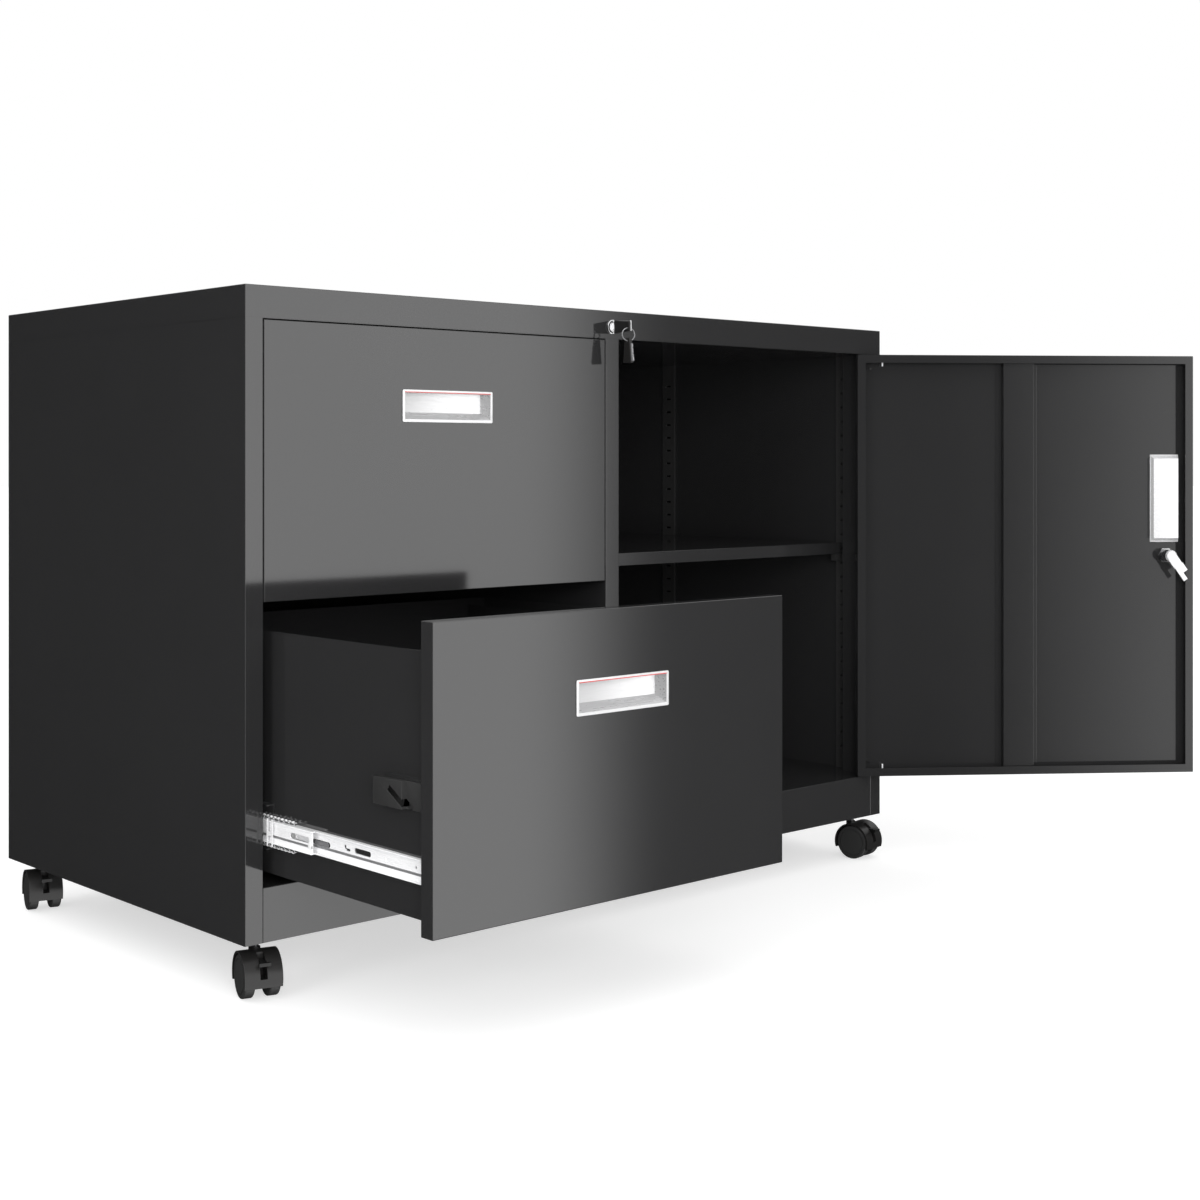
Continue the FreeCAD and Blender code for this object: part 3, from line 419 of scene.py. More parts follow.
def mottledFinish(name, group, values):
    material, tree, shader = principled(name)
    mottle = node(tree, "ShaderNodeGroup", node_tree=group)
    mottle.inputs["Tint"].default_value = (*values["tint"], 1)
    for socket, key in mottling["inputs"].items():
        mottle.inputs[socket].default_value = values[key]
    link(tree, mottle.outputs["Color"], shader.inputs["Base Color"])
    link(tree, mottle.outputs["Roughness"], shader.inputs["Roughness"])
    link(tree, mottle.outputs["Normal"], shader.inputs["Normal"])
    shader.inputs["IOR"].default_value = values["ior"]
    return material


def metalFinish(name, values):
    material, tree, shader = principled(name)
    shader.inputs["Metallic"].default_value = values["metallic"]
    mapping = node(tree, "ShaderNodeMapping")
    mapping.inputs["Scale"].default_value = values["grainStretch"]
    link(tree, node(tree, "ShaderNodeTexCoord").outputs["Object"], mapping.inputs["Vector"])
    noise = node(tree, "ShaderNodeTexNoise")
    noise.inputs["Scale"].default_value = grain["size"]
    noise.inputs["Detail"].default_value = grain["detail"]
    link(tree, mapping.outputs[0], noise.inputs["Vector"])
    tone = softStep(tree, noise.outputs["Fac"], grain["from"], grain["to"], grain["darkest"], 1.0)
    tint = node(tree, "ShaderNodeVectorMath", operation="SCALE")
    tint.inputs[0].default_value = values["tint"]
    link(tree, tone, tint.inputs["Scale"])
    link(tree, tint.outputs[0], shader.inputs["Base Color"])
    rough = softStep(tree, noise.outputs["Fac"], grain["from"], grain["to"],
                     values["roughness"] + grain["roughnessSpread"],
                     values["roughness"] - grain["roughnessSpread"])
    link(tree, rough, shader.inputs["Roughness"])
    bump = node(tree, "ShaderNodeBump")
    bump.inputs["Distance"].default_value = values["grainDepth"]
    link(tree, noise.outputs["Fac"], bump.inputs["Height"])
    link(tree, bump.outputs[0], shader.inputs["Normal"])
    return material


# Ways of working

nodes = frame["nodes"]
slotOf = {row["node"]: row["material_slot"] for row in frame["record"]["subparts"]}
doorJoint = next(joint for joint in frame["joints"] if joint["name"] == "door_hinge")
doorPin = Vector(doorJoint["pos_m"])
doorOpen = math.radians(-doorJoint["range_deg"][0])
facing = 0.9            # the least share of a normal that counts as looking that way
over = 0.001            # how far a cutting tool stands past what it cuts
welded = 0.000002       # points nearer than this become one


def only(piece):
    bpy.ops.object.select_all(action="DESELECT")
    piece.select_set(True)
    bpy.context.view_layer.objects.active = piece


def settle(piece):
    only(piece)
    bpy.ops.object.transform_apply(location=True, rotation=True, scale=True)
    return piece


def startBox(name, low, high):
    bpy.ops.object.select_all(action="DESELECT")
    low, high = Vector(low), Vector(high)
    bpy.ops.mesh.primitive_cube_add(size=1, location=(low + high) / 2)
    piece = bpy.context.object
    piece.name = name
    piece.scale = high - low
    return settle(piece)


def startRound(name, start, end, radius, sides=20):
    bpy.ops.object.select_all(action="DESELECT")
    start, end = Vector(start), Vector(end)
    turn = Vector((0, 0, 1)).rotation_difference(end - start).to_euler()
    bpy.ops.mesh.primitive_cylinder_add(vertices=sides, radius=radius, depth=(end - start).length,
                                        location=(start + end) / 2, rotation=turn)
    piece = bpy.context.object
    piece.name = name
    return settle(piece)


# Edit mode with only the faces, edges or vertices selected that pass the test on their middle.
def pick(piece, kind, test):
    only(piece)
    bpy.ops.object.mode_set(mode="EDIT")
    bpy.context.tool_settings.mesh_select_mode = (kind == "verts", kind == "edges", kind == "faces")
    bpy.ops.mesh.select_all(action="DESELECT")
    mesh = bmesh.from_edit_mesh(piece.data)
    for part in getattr(mesh, kind):
        if kind == "faces":
            chosen = test(part.calc_center_median(), part.normal)
        elif kind == "edges":
            ends = [vertex.co for vertex in part.verts]
            chosen = test((ends[0] + ends[1]) / 2, ends[1] - ends[0])
        else:
            chosen = test(part.co)
        if chosen:
            part.select_set(True)
    mesh.select_flush_mode()
    bmesh.update_edit_mesh(piece.data)


# Edit mode with everything selected.
def pickAll(piece):
    only(piece)
    bpy.ops.object.mode_set(mode="EDIT")
    bpy.ops.mesh.select_all(action="SELECT")


def done():
    bpy.ops.object.mode_set(mode="OBJECT")


def push(value):
    bpy.ops.mesh.extrude_region_move(TRANSFORM_OT_translate={"value": value})


# Pulls the chosen vertices of a piece along.
def drag(piece, test, value):
    pick(piece, "verts", test)
    bpy.ops.transform.translate(value=value)
    done()


# Presses the middle of a head's outer face in.
def dish(head, rim, depth):
    pick(head, "faces", lambda place, normal: normal.x < -facing)
    bpy.ops.mesh.inset(thickness=rim)
    bpy.ops.transform.translate(value=(depth, 0, 0))
    done()


# Gives the chosen faces another of the piece's materials.
def shade(piece, index, test):
    pick(piece, "faces", test)
    piece.active_material_index = index
    bpy.ops.object.material_slot_assign()
    done()


# Divides the chosen faces along a level line.
def scoreLine(piece, test, height):
    pick(piece, "faces", test)
    bpy.ops.mesh.bisect(plane_co=(0, 0, height), plane_no=(0, 0, 1))
    done()


def use(piece, kind, **settings):
    only(piece)
    modifier = piece.modifiers.new(kind.lower(), kind)
    for name, value in settings.items():
        setattr(modifier, name, value)
    bpy.ops.object.modifier_apply(modifier=modifier.name)


def cutOut(piece, *tools):
    for tool in tools:
        use(piece, "BOOLEAN", operation="DIFFERENCE", object=tool, solver="EXACT")
        bpy.data.objects.remove(tool)


def soften(piece, width, segments=2, angle=40.0):
    use(piece, "BEVEL", width=width, segments=segments, limit_method="ANGLE", angle_limit=math.radians(angle))


def join(name, pieces):
    bpy.ops.object.select_all(action="DESELECT")
    for piece in pieces:
        piece.select_set(True)
    bpy.context.view_layer.objects.active = pieces[0]
    bpy.ops.object.join()
    pieces[0].name = name
    return pieces[0]


def copyOf(piece, name, shift=(0, 0, 0)):
    only(piece)
    bpy.ops.object.duplicate()
    made = bpy.context.object
    made.name = name
    made.location = shift
    return settle(made)


def outward(piece):
    pickAll(piece)
    bpy.ops.mesh.remove_doubles(threshold=welded)
    bpy.ops.mesh.normals_make_consistent(inside=False)
    done()


# A piece and its mirror image on the other side of the plane x = middle, as one.
def bothSides(piece, name, middle):
    other = copyOf(piece, name + "Right")
    other.scale = (-1, 1, 1)
    other.location = (2 * middle, 0, 0)
    settle(other)
    outward(other)
    return join(name, [piece, other])


# Turns a piece that was modelled on the closed door to where the door stands.
def swingDoor(piece):
    turn = Matrix.Rotation(doorOpen, 3, "Z")
    piece.rotation_euler = (0, 0, doorOpen)
    piece.location = doorPin - turn @ doorPin
    return settle(piece)


# The corners of a node of the door, measured with the door closed.
def closedBox(name):
    back = Matrix.Rotation(-doorOpen, 3, "Z")
    points = [back @ (vertex.co - doorPin) + doorPin for vertex in nodes[name].data.vertices]
    return (Vector([min(point[i] for point in points) for i in range(3)]),
            Vector([max(point[i] for point in points) for i in range(3)]))


# Finishes a piece: paint, smoothing, and the body that it moves with.
def fit(piece, material, body, slot, *replaced, angle=32.0):
    if not piece.data.materials:
        piece.data.materials.append(material)
    only(piece)
    bpy.ops.object.shade_smooth_by_angle(angle=math.radians(angle))
    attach(piece, body)
    if replaced:
        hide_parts(*replaced)


print("camera, light and floor")
bpy.context.scene.view_settings.view_transform = "Standard"
addCamera()
addWorld()
addFloor()
for values in lamps:
    addLamp(values)

print("finishes")
mottle = mottleGroup()
finish = {
    "black_enamel": mottledFinish("blackEnamel", mottle, enamel),
    "black_bracket": mottledFinish("bracketPaint", mottle, bracketPaint),
    "black_plastic": mottledFinish("hoodPlastic", mottle, hoodPlastic),
    "black_tread": mottledFinish("treadNylon", mottle, treadNylon),
    "lip_seal": mottledFinish("lipSeal", mottle, lipSeal),
    "lever": mottledFinish("leverPlastic", mottle, leverPlastic),
    "slot_shade": mottledFinish("slotShade", mottle, slotShade),
    "standard": mottledFinish("standardPaint", mottle, standardPaint),
    "pedal": mottledFinish("pedalPlastic", mottle, pedalPlastic),
    "caster_stem": metalFinish("darkPlate", darkPlate),
    "pull": metalFinish("pullPlate", pullPlate),
    "cup": metalFinish("cupPlate", cupPlate),
    "groove": metalFinish("groovePlate", groovePlate),
    "chrome_pull": metalFinish("brightPlate", brightPlate),
    "zinc_steel": metalFinish("zincPlate", zincPlate),
}
nodeFinish = {"hinge_sleeves": "black_enamel", "shelf_standards": "standard", "shelf_clips": "black_bracket"}
for name, part in nodes.items():
    part.data.materials.clear()
    part.data.materials.append(finish[nodeFinish.get(name, slotOf[name])])

# Recessed pulls

pull = {
    "border": 0.003,
    "wall": 0.0011,
    "drawer": {"draft": 0.004, "lean": 0.0075},     # how far the cup's ends lean in, and its floor rises
    "door": {"draft": 0.0045, "lean": 0.0035},
    "lipLine": 0.0010,      # the coloured line along the upper lip
    "cupShadeFrom": 0.0015,      # depth where the painted shade of the cup starts
    "rim": 0.0012,          # how far the border's rim goes back
    "rimShare": 0.75,       # a corner of the rim is at least this share of it long
    "edge": 0.0006,
    "cornerRadius": 0.0016,
    "cornerSegments": 4,
    "centre": 0.001,        # a face is the middle one if it is no farther from the centre
    "near": 0.0003,         # what lies no farther from the outline counts as on it
    "backNear": 0.0005,
}


# A pull whose length lies along x and whose cup goes back along y.
def makePull(name, low, high, lined):
    shape = pull["drawer"] if lined else pull["door"]
    border, near, centre = pull["border"], pull["near"], pull["centre"]
    bpy.ops.object.select_all(action="DESELECT")
    middle = (low + high) / 2
    bpy.ops.mesh.primitive_plane_add(size=1, location=(middle.x, low.y, middle.z),
                                     rotation=(math.pi / 2, 0, 0))
    piece = bpy.context.object
    piece.name = name
    piece.scale = (high.x - low.x, high.z - low.z, 1)
    settle(piece)
    if lined:
        for key in ("pull", "lip_seal", "cup"):
            piece.data.materials.append(finish[key])
    pick(piece, "faces", lambda place, normal: True)
    bpy.ops.mesh.inset(thickness=border, depth=0)
    done()
    pick(piece, "faces", lambda place, normal: abs(place.x - middle.x) < centre
         and abs(place.z - middle.z) < centre)
    back = high.y - low.y - pull["wall"]
    push((0, back, 0))
    done()
    deep = low.y + back - pull["backNear"]
    drag(piece, lambda place: place.y > deep and place.z < middle.z, (0, 0, shape["lean"]))
    for way in (-1, 1):
        drag(piece, lambda place: place.y > deep and (place.x - middle.x) * way > 0,
             (-way * shape["draft"], 0, 0))
    if lined:
        # The cup's walls in front of its back and below the upper lip get the darker plate: painted shade
        inShadedCup = lambda place: low.y + pull["cupShadeFrom"] < place.y < deep
        shade(piece, 2, lambda place, normal: inShadedCup(place) and place.z < high.z - border * 2)
        line = high.z - border + pull["lipLine"]
        onLip = lambda place, normal: place.z > high.z - border and normal.y < -facing
        scoreLine(piece, onLip, line)
        shade(piece, 1, lambda place, normal: onLip(place, normal) and place.z < line)
    outer = lambda place: (abs(abs(place.x - middle.x) - (high.x - low.x) / 2) < near
                           or abs(abs(place.z - middle.z) - (high.z - low.z) / 2) < near)
    pick(piece, "edges", lambda place, way: outer(place) and place.y < low.y + near)
    push((0, pull["rim"], 0))
    done()
    cornerLength = pull["rim"] * pull["rimShare"]
    pick(piece, "edges", lambda place, way: outer(place) and abs(way.y) > cornerLength)
    bpy.ops.mesh.bevel(offset=pull["cornerRadius"], segments=pull["cornerSegments"], affect="EDGES")
    done()
    use(piece, "SOLIDIFY", thickness=pull["wall"], offset=-1)
    soften(piece, pull["edge"], 3)
    return piece


print("pulls")
for row in ("upper", "lower"):
    low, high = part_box("drawer_pull_" + row)
    piece = makePull("recessedPull_" + row, low, high, True)
    fit(piece, finish["pull"], "drawer_" + row, "chrome_pull", "drawer_pull_" + row)
low, high = closedBox("door_pull")
middle = (low + high) / 2
tall, wide = (high.z - low.z) / 2, (high.x - low.x) / 2
piece = makePull("recessedPull_door", Vector((-tall, low.y, -wide)), Vector((tall, high.y, wide)), False)
piece.rotation_euler = (0, math.pi / 2, 0)
piece.location = (middle.x, 0, middle.z)
settle(piece)
swingDoor(piece)
fit(piece, finish["zinc_steel"], "door", "chrome_pull", "door_pull")

# Ball-bearing slides. Lengths along a member are from its front end, heights from its middle line.

slide = {
    "gauge": 0.0012,
    "innerReach": 0.0052,       # how far the flanges of the drawer's member stand off its web
    "innerTrim": 0.0027,        # what the member's lower edge stands above its solid's
    "midReach": 0.0075,
    "midTrim": 0.0050,
    "midWebAt": 0.0014,
    "edge": 0.00035,
    "grooveHigh": -0.0028,      # the pressed groove
    "grooveLow": -0.0052,
    "grooveDeep": 0.0007,
    "near": 0.0001,
    # start, end, height, half width
    "innerSlots": ((0.0915, 0.1190, 0.0020, 0.0027), (0.1250, 0.1330, 0.0008, 0.0013),
                   (0.1585, 0.1900, 0.0, 0.0027), (0.2500, 0.2765, 0.0, 0.0026)),
    "midSlots": ((0.0055, 0.0390, 0.0020, 0.0030), (0.0900, 0.1200, 0.0, 0.0030)),
    # place, height, radius
    "innerHoles": ((0.0216, 0.0021, 0.0014), (0.1335, 0.0030, 0.0022),
                   (0.2200, 0.0, 0.0020), (0.4200, 0.0, 0.0020)),
}
rivet = {
    "sunk": 0.0002,
    "edge": 0.0003,
    # place, height, radius, how far it stands out
    "inner": (0.0690, 0.0008, 0.0019, 0.0005),
    "mid": (0.0040, -0.0030, 0.0030, 0.0006),
}
screw = {"places": (0.2200, 0.4200), "sunk": 0.0004, "proud": 0.0014, "radius": 0.0036, "sides": 24,
         "rim": 0.0014, "dish": 0.0006, "edge": 0.0003}
lever = {"start": 0.1600, "end": 0.1830, "half": 0.0021, "proud": 0.0012, "sunk": 0.0002,
         "rim": 0.0006, "dish": 0.0004, "edge": 0.0003}
retainer = {"start": 0.0345, "end": 0.0455, "half": 0.0165, "bar": 0.0022, "thick": 0.0006,
            "outside": 0.0009, "past": 0.0025, "toolHalf": 0.002, "edge": 0.00015}
balls = {
    "radius": 0.0017,
    "pitch": 0.0091,
    "first": 0.003,
    "inside": 0.0032,           # from the middle member's outer side
    "rise": 0.0018,             # above the middle member's upper edge
    "beltShare": 0.25,          # the finer belt around the ball's middle, as a share of its radius
    "stripHalf": 0.0004,
    "stripLow": 0.0012,
    "stripHigh": 0.0024,
    "edge": 0.0002,
}
roundSides = 24
middleShare = 0.02      # points within this share of the radius stay where they are when a bar is drawn out


# A round-ended bar lying along y, which cuts a slot or stands as a tab.
def roundEnded(name, x0, x1, y0, y1, z, half):
    piece = startRound(name, (x0, (y0 + y1) / 2, z), (x1, (y0 + y1) / 2, z), half, roundSides)
    middle, reach = (y0 + y1) / 2, (y1 - y0) / 2 - half
    for way in (-1, 1):
        drag(piece, lambda place: (place.y - middle) * way > half * middleShare, (0, way * reach, 0))
    return piece


def slotTools(slots, x0, x1, y, z):
    return [roundEnded("slotTool", x0, x1, y + start, y + end, z + rise, half)
            for start, end, rise, half in slots]


# A flat head on the face of a member's web.
def rivetHead(name, face, y, z, values):
    place, rise, radius, proud = values
    head = startRound(name, (face + rivet["sunk"], y + place, z + rise),
                      (face - proud, y + place, z + rise), radius)
    soften(head, rivet["edge"])
    return head


# A web at xWeb whose outer face looks towards -x, with a groove pressed into it.
def makeMember(name, xWeb, low, high, outReach, backReach):
    gauge, near = slide["gauge"], slide["near"]
    middle = (low.z + high.z) / 2
    grooveLow, grooveHigh = middle + slide["grooveLow"], middle + slide["grooveHigh"]
    piece = startBox(name, (xWeb - gauge, low.y, low.z), (xWeb, high.y, high.z))
    outer = lambda place, normal: normal.x < -facing
    inner = lambda place, normal: normal.x > facing
    for height in (low.z + gauge, high.z - gauge, grooveLow, grooveHigh):
        scoreLine(piece, outer, height)
    for height in (low.z + gauge, high.z - gauge):
        scoreLine(piece, inner, height)
    rim = lambda place: place.z > high.z - gauge or place.z < low.z + gauge
    pick(piece, "faces", lambda place, normal: outer(place, normal) and rim(place))
    push((-outReach, 0, 0))
    done()
    if backReach:
        pick(piece, "faces", lambda place, normal: inner(place, normal) and rim(place))
        push((backReach, 0, 0))
        done()
    inGroove = lambda place: grooveLow < place.z < grooveHigh
    pick(piece, "faces", lambda place, normal: outer(place, normal) and inGroove(place))
    push((slide["grooveDeep"], 0, 0))
    done()
    piece.data.materials.append(finish["zinc_steel"])
    piece.data.materials.append(finish["groove"])
    # The groove's faces get the darker plate: painted shade
    shade(piece, 1, lambda place, normal: xWeb - gauge + near < place.x < xWeb - near and inGroove(place))
    soften(piece, slide["edge"])
    return piece


print("slides")
for row in ("lower", "upper"):
    low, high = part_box("slide_inners_" + row)
    bayMiddle = (low.x + high.x) / 2
    low.z += slide["innerTrim"]
    xWeb = low.x + slide["innerReach"]
    face = xWeb - slide["gauge"]
    middle = (low.z + high.z) / 2
    piece = makeMember("slideInner", xWeb, low, high, slide["innerReach"] - slide["gauge"], 0)
    x0, x1 = low.x - over, xWeb + over
    tools = slotTools(slide["innerSlots"], x0, x1, low.y, middle)
    for place, rise, radius in slide["innerHoles"]:
        y, z = low.y + place, middle + rise
        tools.append(startRound("holeTool", (x0, y, z), (x1, y, z), radius))
    cutOut(piece, *tools)
    heads = [rivetHead("rivet", face, low.y, middle, rivet["inner"])]
    for place in screw["places"]:
        y = low.y + place
        head = startRound("screwHead", (face + screw["sunk"], y, middle), (face - screw["proud"], y, middle),
                          screw["radius"], screw["sides"])
        dish(head, screw["rim"], screw["dish"])
        soften(head, screw["edge"])
        heads.append(head)
    piece = join("slideInner", [piece] + heads)
    outward(piece)
    piece = bothSides(piece, "slideInner_" + row, bayMiddle)
    fit(piece, finish["zinc_steel"], "drawer_" + row, "zinc_steel", "slide_inners_" + row)

    tab = roundEnded("releaseLever", face - lever["proud"], face + lever["sunk"], low.y + lever["start"],
                     low.y + lever["end"], middle, lever["half"])
    dish(tab, lever["rim"], lever["dish"])
    soften(tab, lever["edge"])
    tab = bothSides(tab, "releaseLever_" + row, bayMiddle)
    fit(tab, finish["lever"], "drawer_" + row, "black_plastic")

    low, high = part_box("slide_mids_" + row)
    low.z += slide["midTrim"] + slide["innerTrim"]
    high.z -= slide["midTrim"]
    midOut, midLow, midHigh = low.x, low.z, high.z
    middle = (low.z + high.z) / 2
    xWeb = low.x + slide["midWebAt"] + slide["gauge"]
    piece = makeMember("slideMiddle", xWeb, low, high, slide["midWebAt"],
                       slide["midReach"] - slide["midWebAt"] - slide["gauge"])
    cutOut(piece, *slotTools(slide["midSlots"], low.x - over, xWeb + over, low.y, middle))
    head = rivetHead("midRivet", xWeb - slide["gauge"], low.y, middle, rivet["mid"])
    piece = join("slideMiddle", [piece, head])
    outward(piece)
    piece = bothSides(piece, "slideMiddle_" + row, bayMiddle)
    fit(piece, finish["zinc_steel"], "mids_" + row, "zinc_steel", "slide_mids_" + row)

    low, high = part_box("ball_cages_outer_" + row)
    middle = (low.z + high.z) / 2
    xOut = midOut - retainer["outside"]
    y0, y1 = low.y + retainer["start"], low.y + retainer["end"]
    bar, toolHalf = retainer["bar"], retainer["toolHalf"]
    web = startBox("retainerWeb", (xOut - retainer["thick"], y0, midLow - retainer["past"]),
                   (xOut, y1, midHigh + retainer["past"]))
    window = startBox("windowTool", (xOut - toolHalf, y0 + bar, middle - retainer["half"]),
                      (xOut + toolHalf, y1 - bar, middle - bar))
    upper = copyOf(window, "windowToolUpper", (0, 0, retainer["half"] + bar))
    cutOut(web, window, upper)
    soften(web, retainer["edge"], 1)
    web = bothSides(web, "retainerWeb_" + row, bayMiddle)
    fit(web, finish["zinc_steel"], "cages_outer_" + row, "zinc_steel")

    xBall, zBall = midOut + balls["inside"], midHigh + balls["rise"]
    radius, pitch = balls["radius"], balls["pitch"]
    bpy.ops.object.select_all(action="DESELECT")
    bpy.ops.mesh.primitive_ico_sphere_add(subdivisions=2, radius=radius,
                                          location=(xBall, low.y + balls["first"], zBall))
    ball = settle(bpy.context.object)
    ball.data.materials.append(finish["chrome_pull"])
    pick(ball, "faces", lambda place, normal: abs(place.z - zBall) < radius * balls["beltShare"])
    bpy.ops.mesh.subdivide(number_cuts=1, smoothness=1.0)
    done()
    count = int((high.y - low.y - 2 * balls["first"]) / pitch)
    ballRow = [ball] + [copyOf(ball, "ball", (0, number * pitch, 0)) for number in range(1, count + 1)]
    strip = startBox("ballStrip", (xBall - balls["stripHalf"], low.y, midHigh + balls["stripLow"]),
                     (xBall + balls["stripHalf"], high.y, midHigh + balls["stripHigh"]))
    soften(strip, balls["edge"], 1)
    strip.data.materials.append(finish["caster_stem"])
    upper = join("ballRow", ballRow + [strip])
    under = copyOf(upper, "ballRowUnder", (0, 0, -(midHigh - midLow) - 2 * balls["rise"]))
    rows = bothSides(join("ballRow", [upper, under]), "ballRows_" + row, bayMiddle)
    fit(rows, finish["chrome_pull"], "cages_outer_" + row, "zinc_steel", "ball_cages_outer_" + row,
        angle=60.0)

# Key ring, the pin of the key and the cut blade of the spare key

keyRing = {"radius": 0.0076, "wire": 0.00045, "wireSides": 12, "pitch": 0.0011, "turns": 2, "steps": 60,
           "turn": -25.0}
keyPin = {"radius": 0.0012, "half": 0.0062, "outside": 0.0002, "edge": 0.0004}
spareBlade = {
    "thick": 0.0018,
    "proud": 0.0026,
    "sunk": 0.0016,
    "edgeShift": 0.0026,
    "lean": -7.5,
    "edge": 0.0002,
    "cuts": ((0.25, 0.0009), (0.42, 0.0014), (0.58, 0.0006), (0.75, 0.0012)),   # share of the length, depth
    "cutHalf": 0.06,
    "near": 0.0002,
    "frontShare": 0.9,
}


print("key ring and blades")
low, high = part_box("key_ring")
bpy.ops.object.select_all(action="DESELECT")
bpy.ops.mesh.primitive_circle_add(vertices=keyRing["wireSides"], radius=keyRing["wire"],
                                  location=(keyRing["radius"], 0, 0), rotation=(math.pi / 2, 0, 0))
ring = bpy.context.object
ring.name = "keyRingCoil"
settle(ring)
use(ring, "SCREW", axis="Z", angle=2 * math.pi, iterations=keyRing["turns"], screw_offset=keyRing["pitch"],
    steps=keyRing["steps"], render_steps=keyRing["steps"])
pickAll(ring)
bpy.ops.mesh.fill_holes(sides=0)
bpy.ops.mesh.select_all(action="SELECT")
bpy.ops.transform.translate(value=(0, 0, -keyRing["pitch"] * keyRing["turns"] / 2))
done()
ring.rotation_euler = (math.pi / 2, 0, math.radians(keyRing["turn"]))
ring.location = (low + high) / 2
settle(ring)
outward(ring)
fit(ring, finish["groove"], nodes["key_ring"]["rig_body"], slotOf["key_ring"], "key_ring", angle=60.0)

low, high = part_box("key_head")
middle = (low + high) / 2
pinY = low.y - keyPin["outside"]
pin = startRound("foldPin", (middle.x, pinY, middle.z - keyPin["half"]),
                 (middle.x, pinY, middle.z + keyPin["half"]), keyPin["radius"])
soften(pin, keyPin["edge"])
fit(pin, finish["chrome_pull"], nodes["key_head"]["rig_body"], slotOf["key_ring"])

low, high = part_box("spare_key_blade")
headLow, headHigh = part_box("spare_key_head")
middleX = (headLow.x + headHigh.x) / 2
tall = high.z - low.z
edgeTop = headLow.y + spareBlade["edgeShift"]
blade = startBox("spareBladeCut", (middleX - spareBlade["thick"] / 2, edgeTop - spareBlade["proud"], low.z),
                 (middleX + spareBlade["thick"] / 2, edgeTop + spareBlade["sunk"], high.z))
front = edgeTop - spareBlade["proud"] * spareBlade["frontShare"]
for share, deep in spareBlade["cuts"]:
    for step in (-spareBlade["cutHalf"], 0.0, spareBlade["cutHalf"]):
        scoreLine(blade, lambda place, normal: True, low.z + tall * (share + step))
    drag(blade, lambda place: place.y < front and abs(place.z - low.z - tall * share) < spareBlade["near"],
         (0, deep, 0))
soften(blade, spareBlade["edge"])
blade.rotation_euler = (math.radians(spareBlade["lean"]), 0, 0)
pivot = Vector((middleX, edgeTop, high.z))
blade.location = pivot - Matrix.Rotation(math.radians(spareBlade["lean"]), 3, "X") @ pivot
settle(blade)
outward(blade)
fit(blade, finish["groove"], nodes["spare_key_blade"]["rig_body"], slotOf["spare_key_blade"],
    "spare_key_blade")

# Catch bracket on the drawer's side

catch = {
    "length": 0.0703,           # from the front pan back
    "recess": 0.0257,           # the stepped-back part beside the front pan
    "recessDeep": 0.0055,
    "sheet": 0.0012,
    "slotMiddle": (0.0318, 0.0091),     # from the bracket's front lower corner
    "slotSize": (0.034, 0.0062),
    "slotShort": 0.002,         # the slot stops this far before the bracket's inner side
    "slotTurn": 30.0,
    "edge": 0.0005,
}


print("catch brackets")
for row in ("lower", "upper"):
    low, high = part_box("drawer_catch_" + row)
    sheet = catch["sheet"]
    piece = startBox("catchBracket", low, (high.x, low.y + catch["length"], high.z))
    step = startBox("stepTool", (low.x - over, low.y - over, low.z - over),
                    (low.x + catch["recessDeep"], low.y + catch["recess"], high.z + over))
    slotLong, slotHigh = catch["slotSize"]
    slotTool = startBox("slotTool", (low.x - over, -slotLong / 2, -slotHigh / 2),
                        (high.x - catch["slotShort"], slotLong / 2, slotHigh / 2))
    slotTool.rotation_euler = (math.radians(catch["slotTurn"]), 0, 0)
    slotTool.location = (0, low.y + catch["slotMiddle"][0], low.z + catch["slotMiddle"][1])
    settle(slotTool)
    hollow = startBox("hollowTool", (low.x + sheet, low.y + catch["recess"] + sheet, low.z - over),
                      (high.x - sheet, low.y + catch["length"] - sheet, high.z - sheet))
    cutOut(piece, hollow, step, slotTool)
    soften(piece, catch["edge"])
    outward(piece)
    piece.name = "catchBracket_" + row
    fit(piece, finish["black_bracket"], "drawer_" + row, "black_bracket", "drawer_catch_" + row)

# Dark strips behind the slots of the shelf standards: painted shade in the slots

slotBack = {"half": 0.0049, "thick": 0.0006, "ends": 0.02, "fromEdge": 0.0125, "edge": 0.0002}


print("slot backs")
low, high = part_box("shelf_standards")
strips = []
for x, way in ((low.x, 1), (high.x, -1)):
    for y in (low.y + slotBack["fromEdge"], high.y - slotBack["fromEdge"]):
        sides = sorted((x, x + way * slotBack["thick"]))
        strip = startBox("slotBack", (sides[0], y - slotBack["half"], low.z + slotBack["ends"]),
                         (sides[1], y + slotBack["half"], high.z - slotBack["ends"]))
        soften(strip, slotBack["edge"])
        strips.append(strip)
fit(join("slotBacks", strips), finish["slot_shade"], "cabinet", "black_enamel")

# Pins at the door's hinge corners, through the folded rims

hingePin = {"inset": 0.0255, "radius": 0.0010, "start": 0.0012, "end": 0.0150, "edge": 0.0003}


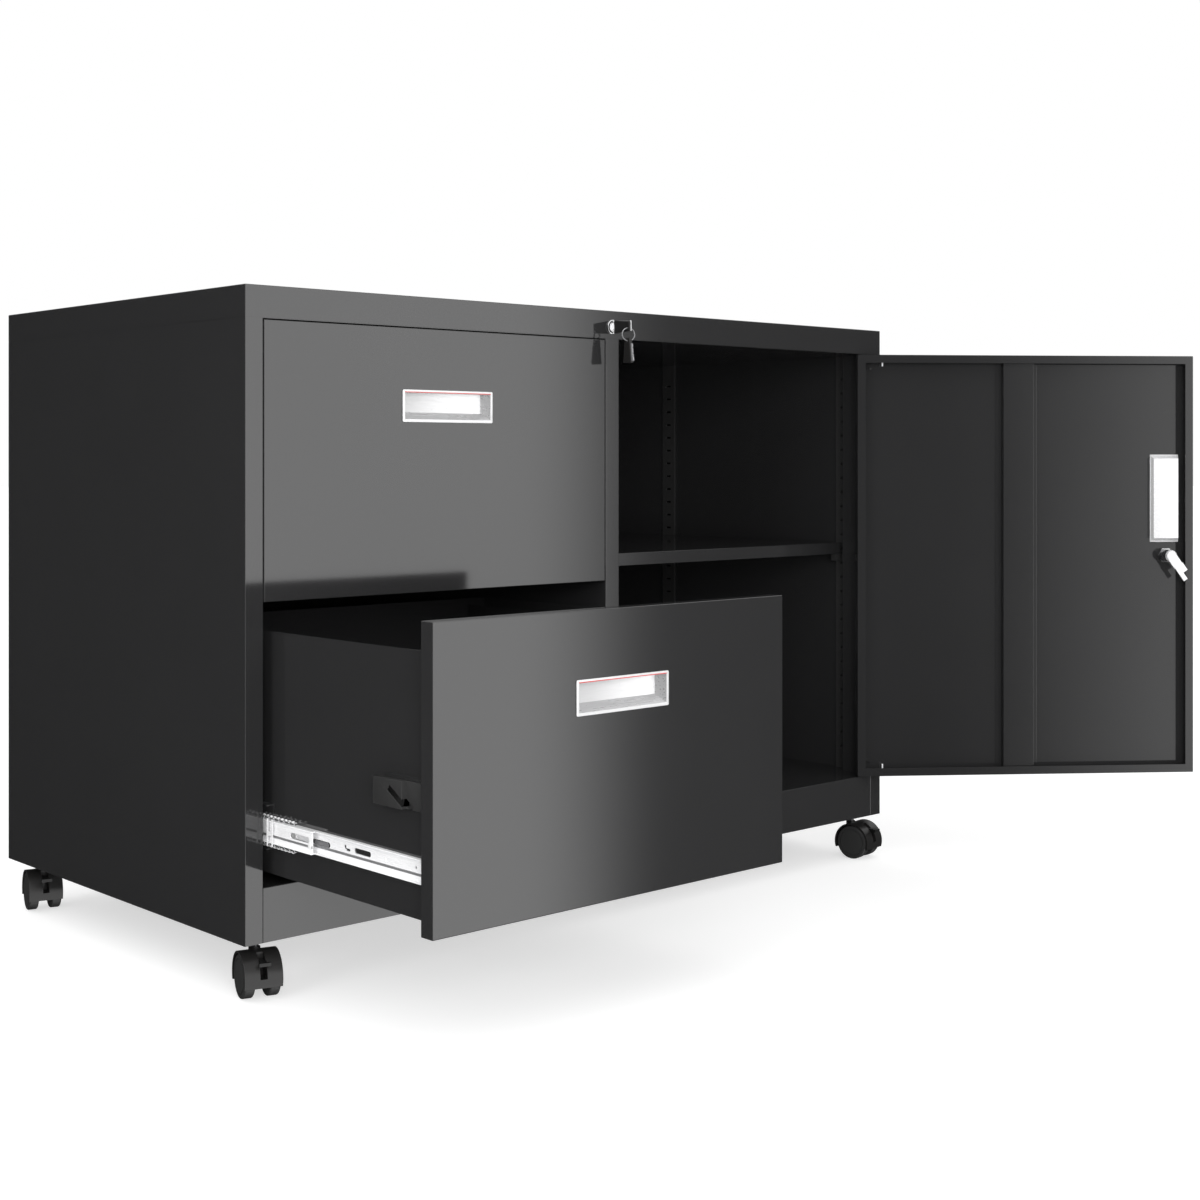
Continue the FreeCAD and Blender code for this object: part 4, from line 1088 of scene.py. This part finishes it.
print("hinge pins")
low, high = closedBox("door_pan")
middle = (low + high) / 2
x = doorPin.x - hingePin["inset"]
for label, rimEdge, way in (("Top", high.z, -1), ("Bottom", low.z, 1)):
    piece = startRound("hingePinRod" + label, (x, middle.y, rimEdge + way * hingePin["start"]),
                       (x, middle.y, rimEdge + way * hingePin["end"]), hingePin["radius"])
    soften(piece, hingePin["edge"])
    swingDoor(piece)
    outward(piece)
    fit(piece, finish["zinc_steel"], "door", "zinc_steel")

# Parts that keep the solid's shape but get rounded edges: the width of the rounding and its segments

rounding = {
    "caster_hood": (0.0006, 3),
    "caster_pedal": (0.0005, 2),
    "key_head": (0.0003, 2),
    "spare_key_head": (0.0003, 2),
    "door_lock_cam": (0.00035, 2),
    "door_lock_body": (0.0004, 2),
    "hinge_pins": (0.0004, 2),
    "lock_barrel": (0.0004, 2),
    "key_blade": (0.0002, 1),
    "door_pan": (0.0005, 2),
    "door_stiffener": (0.0008, 3),
    "top_cap": (0.0007, 2),
    "drawer_front": (0.0006, 2),
    "shelf": (0.0006, 2),
    "caster_stems": (0.0003, 2),
    "caster_plates": (0.0003, 2),
}
endings = ("", "_lower", "_upper", "_front_left", "_front_right", "_rear_left", "_rear_right")
ownFinish = {"caster_pedal": "pedal", "caster_stems": "caster_stem", "caster_plates": "caster_stem",
             "hinge_pins": "black_enamel"}
cleaning = {"welded": 0.00001, "flat": 1.0, "sharp": 35.0}


def roundedCopy(name, stem, material):
    width, segments = rounding[stem]
    piece = copyOf(nodes[name], name + "_rounded")
    piece.data.materials.clear()
    pickAll(piece)
    bpy.ops.mesh.remove_doubles(threshold=cleaning["welded"])
    bpy.ops.mesh.dissolve_limited(angle_limit=math.radians(cleaning["flat"]))
    done()
    soften(piece, width, segments, cleaning["sharp"])
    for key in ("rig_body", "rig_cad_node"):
        if key in piece:
            del piece[key]
    piece.parent = None
    fit(piece, material, nodes[name]["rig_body"], slotOf[name], name)
    use(piece, "WEIGHTED_NORMAL", mode="FACE_AREA", weight=50, keep_sharp=True)


print("rounded parts")
for stem in rounding:
    for name in (stem + ending for ending in endings):
        if name in nodes:
            roundedCopy(name, stem, finish[ownFinish.get(stem, slotOf[name])])
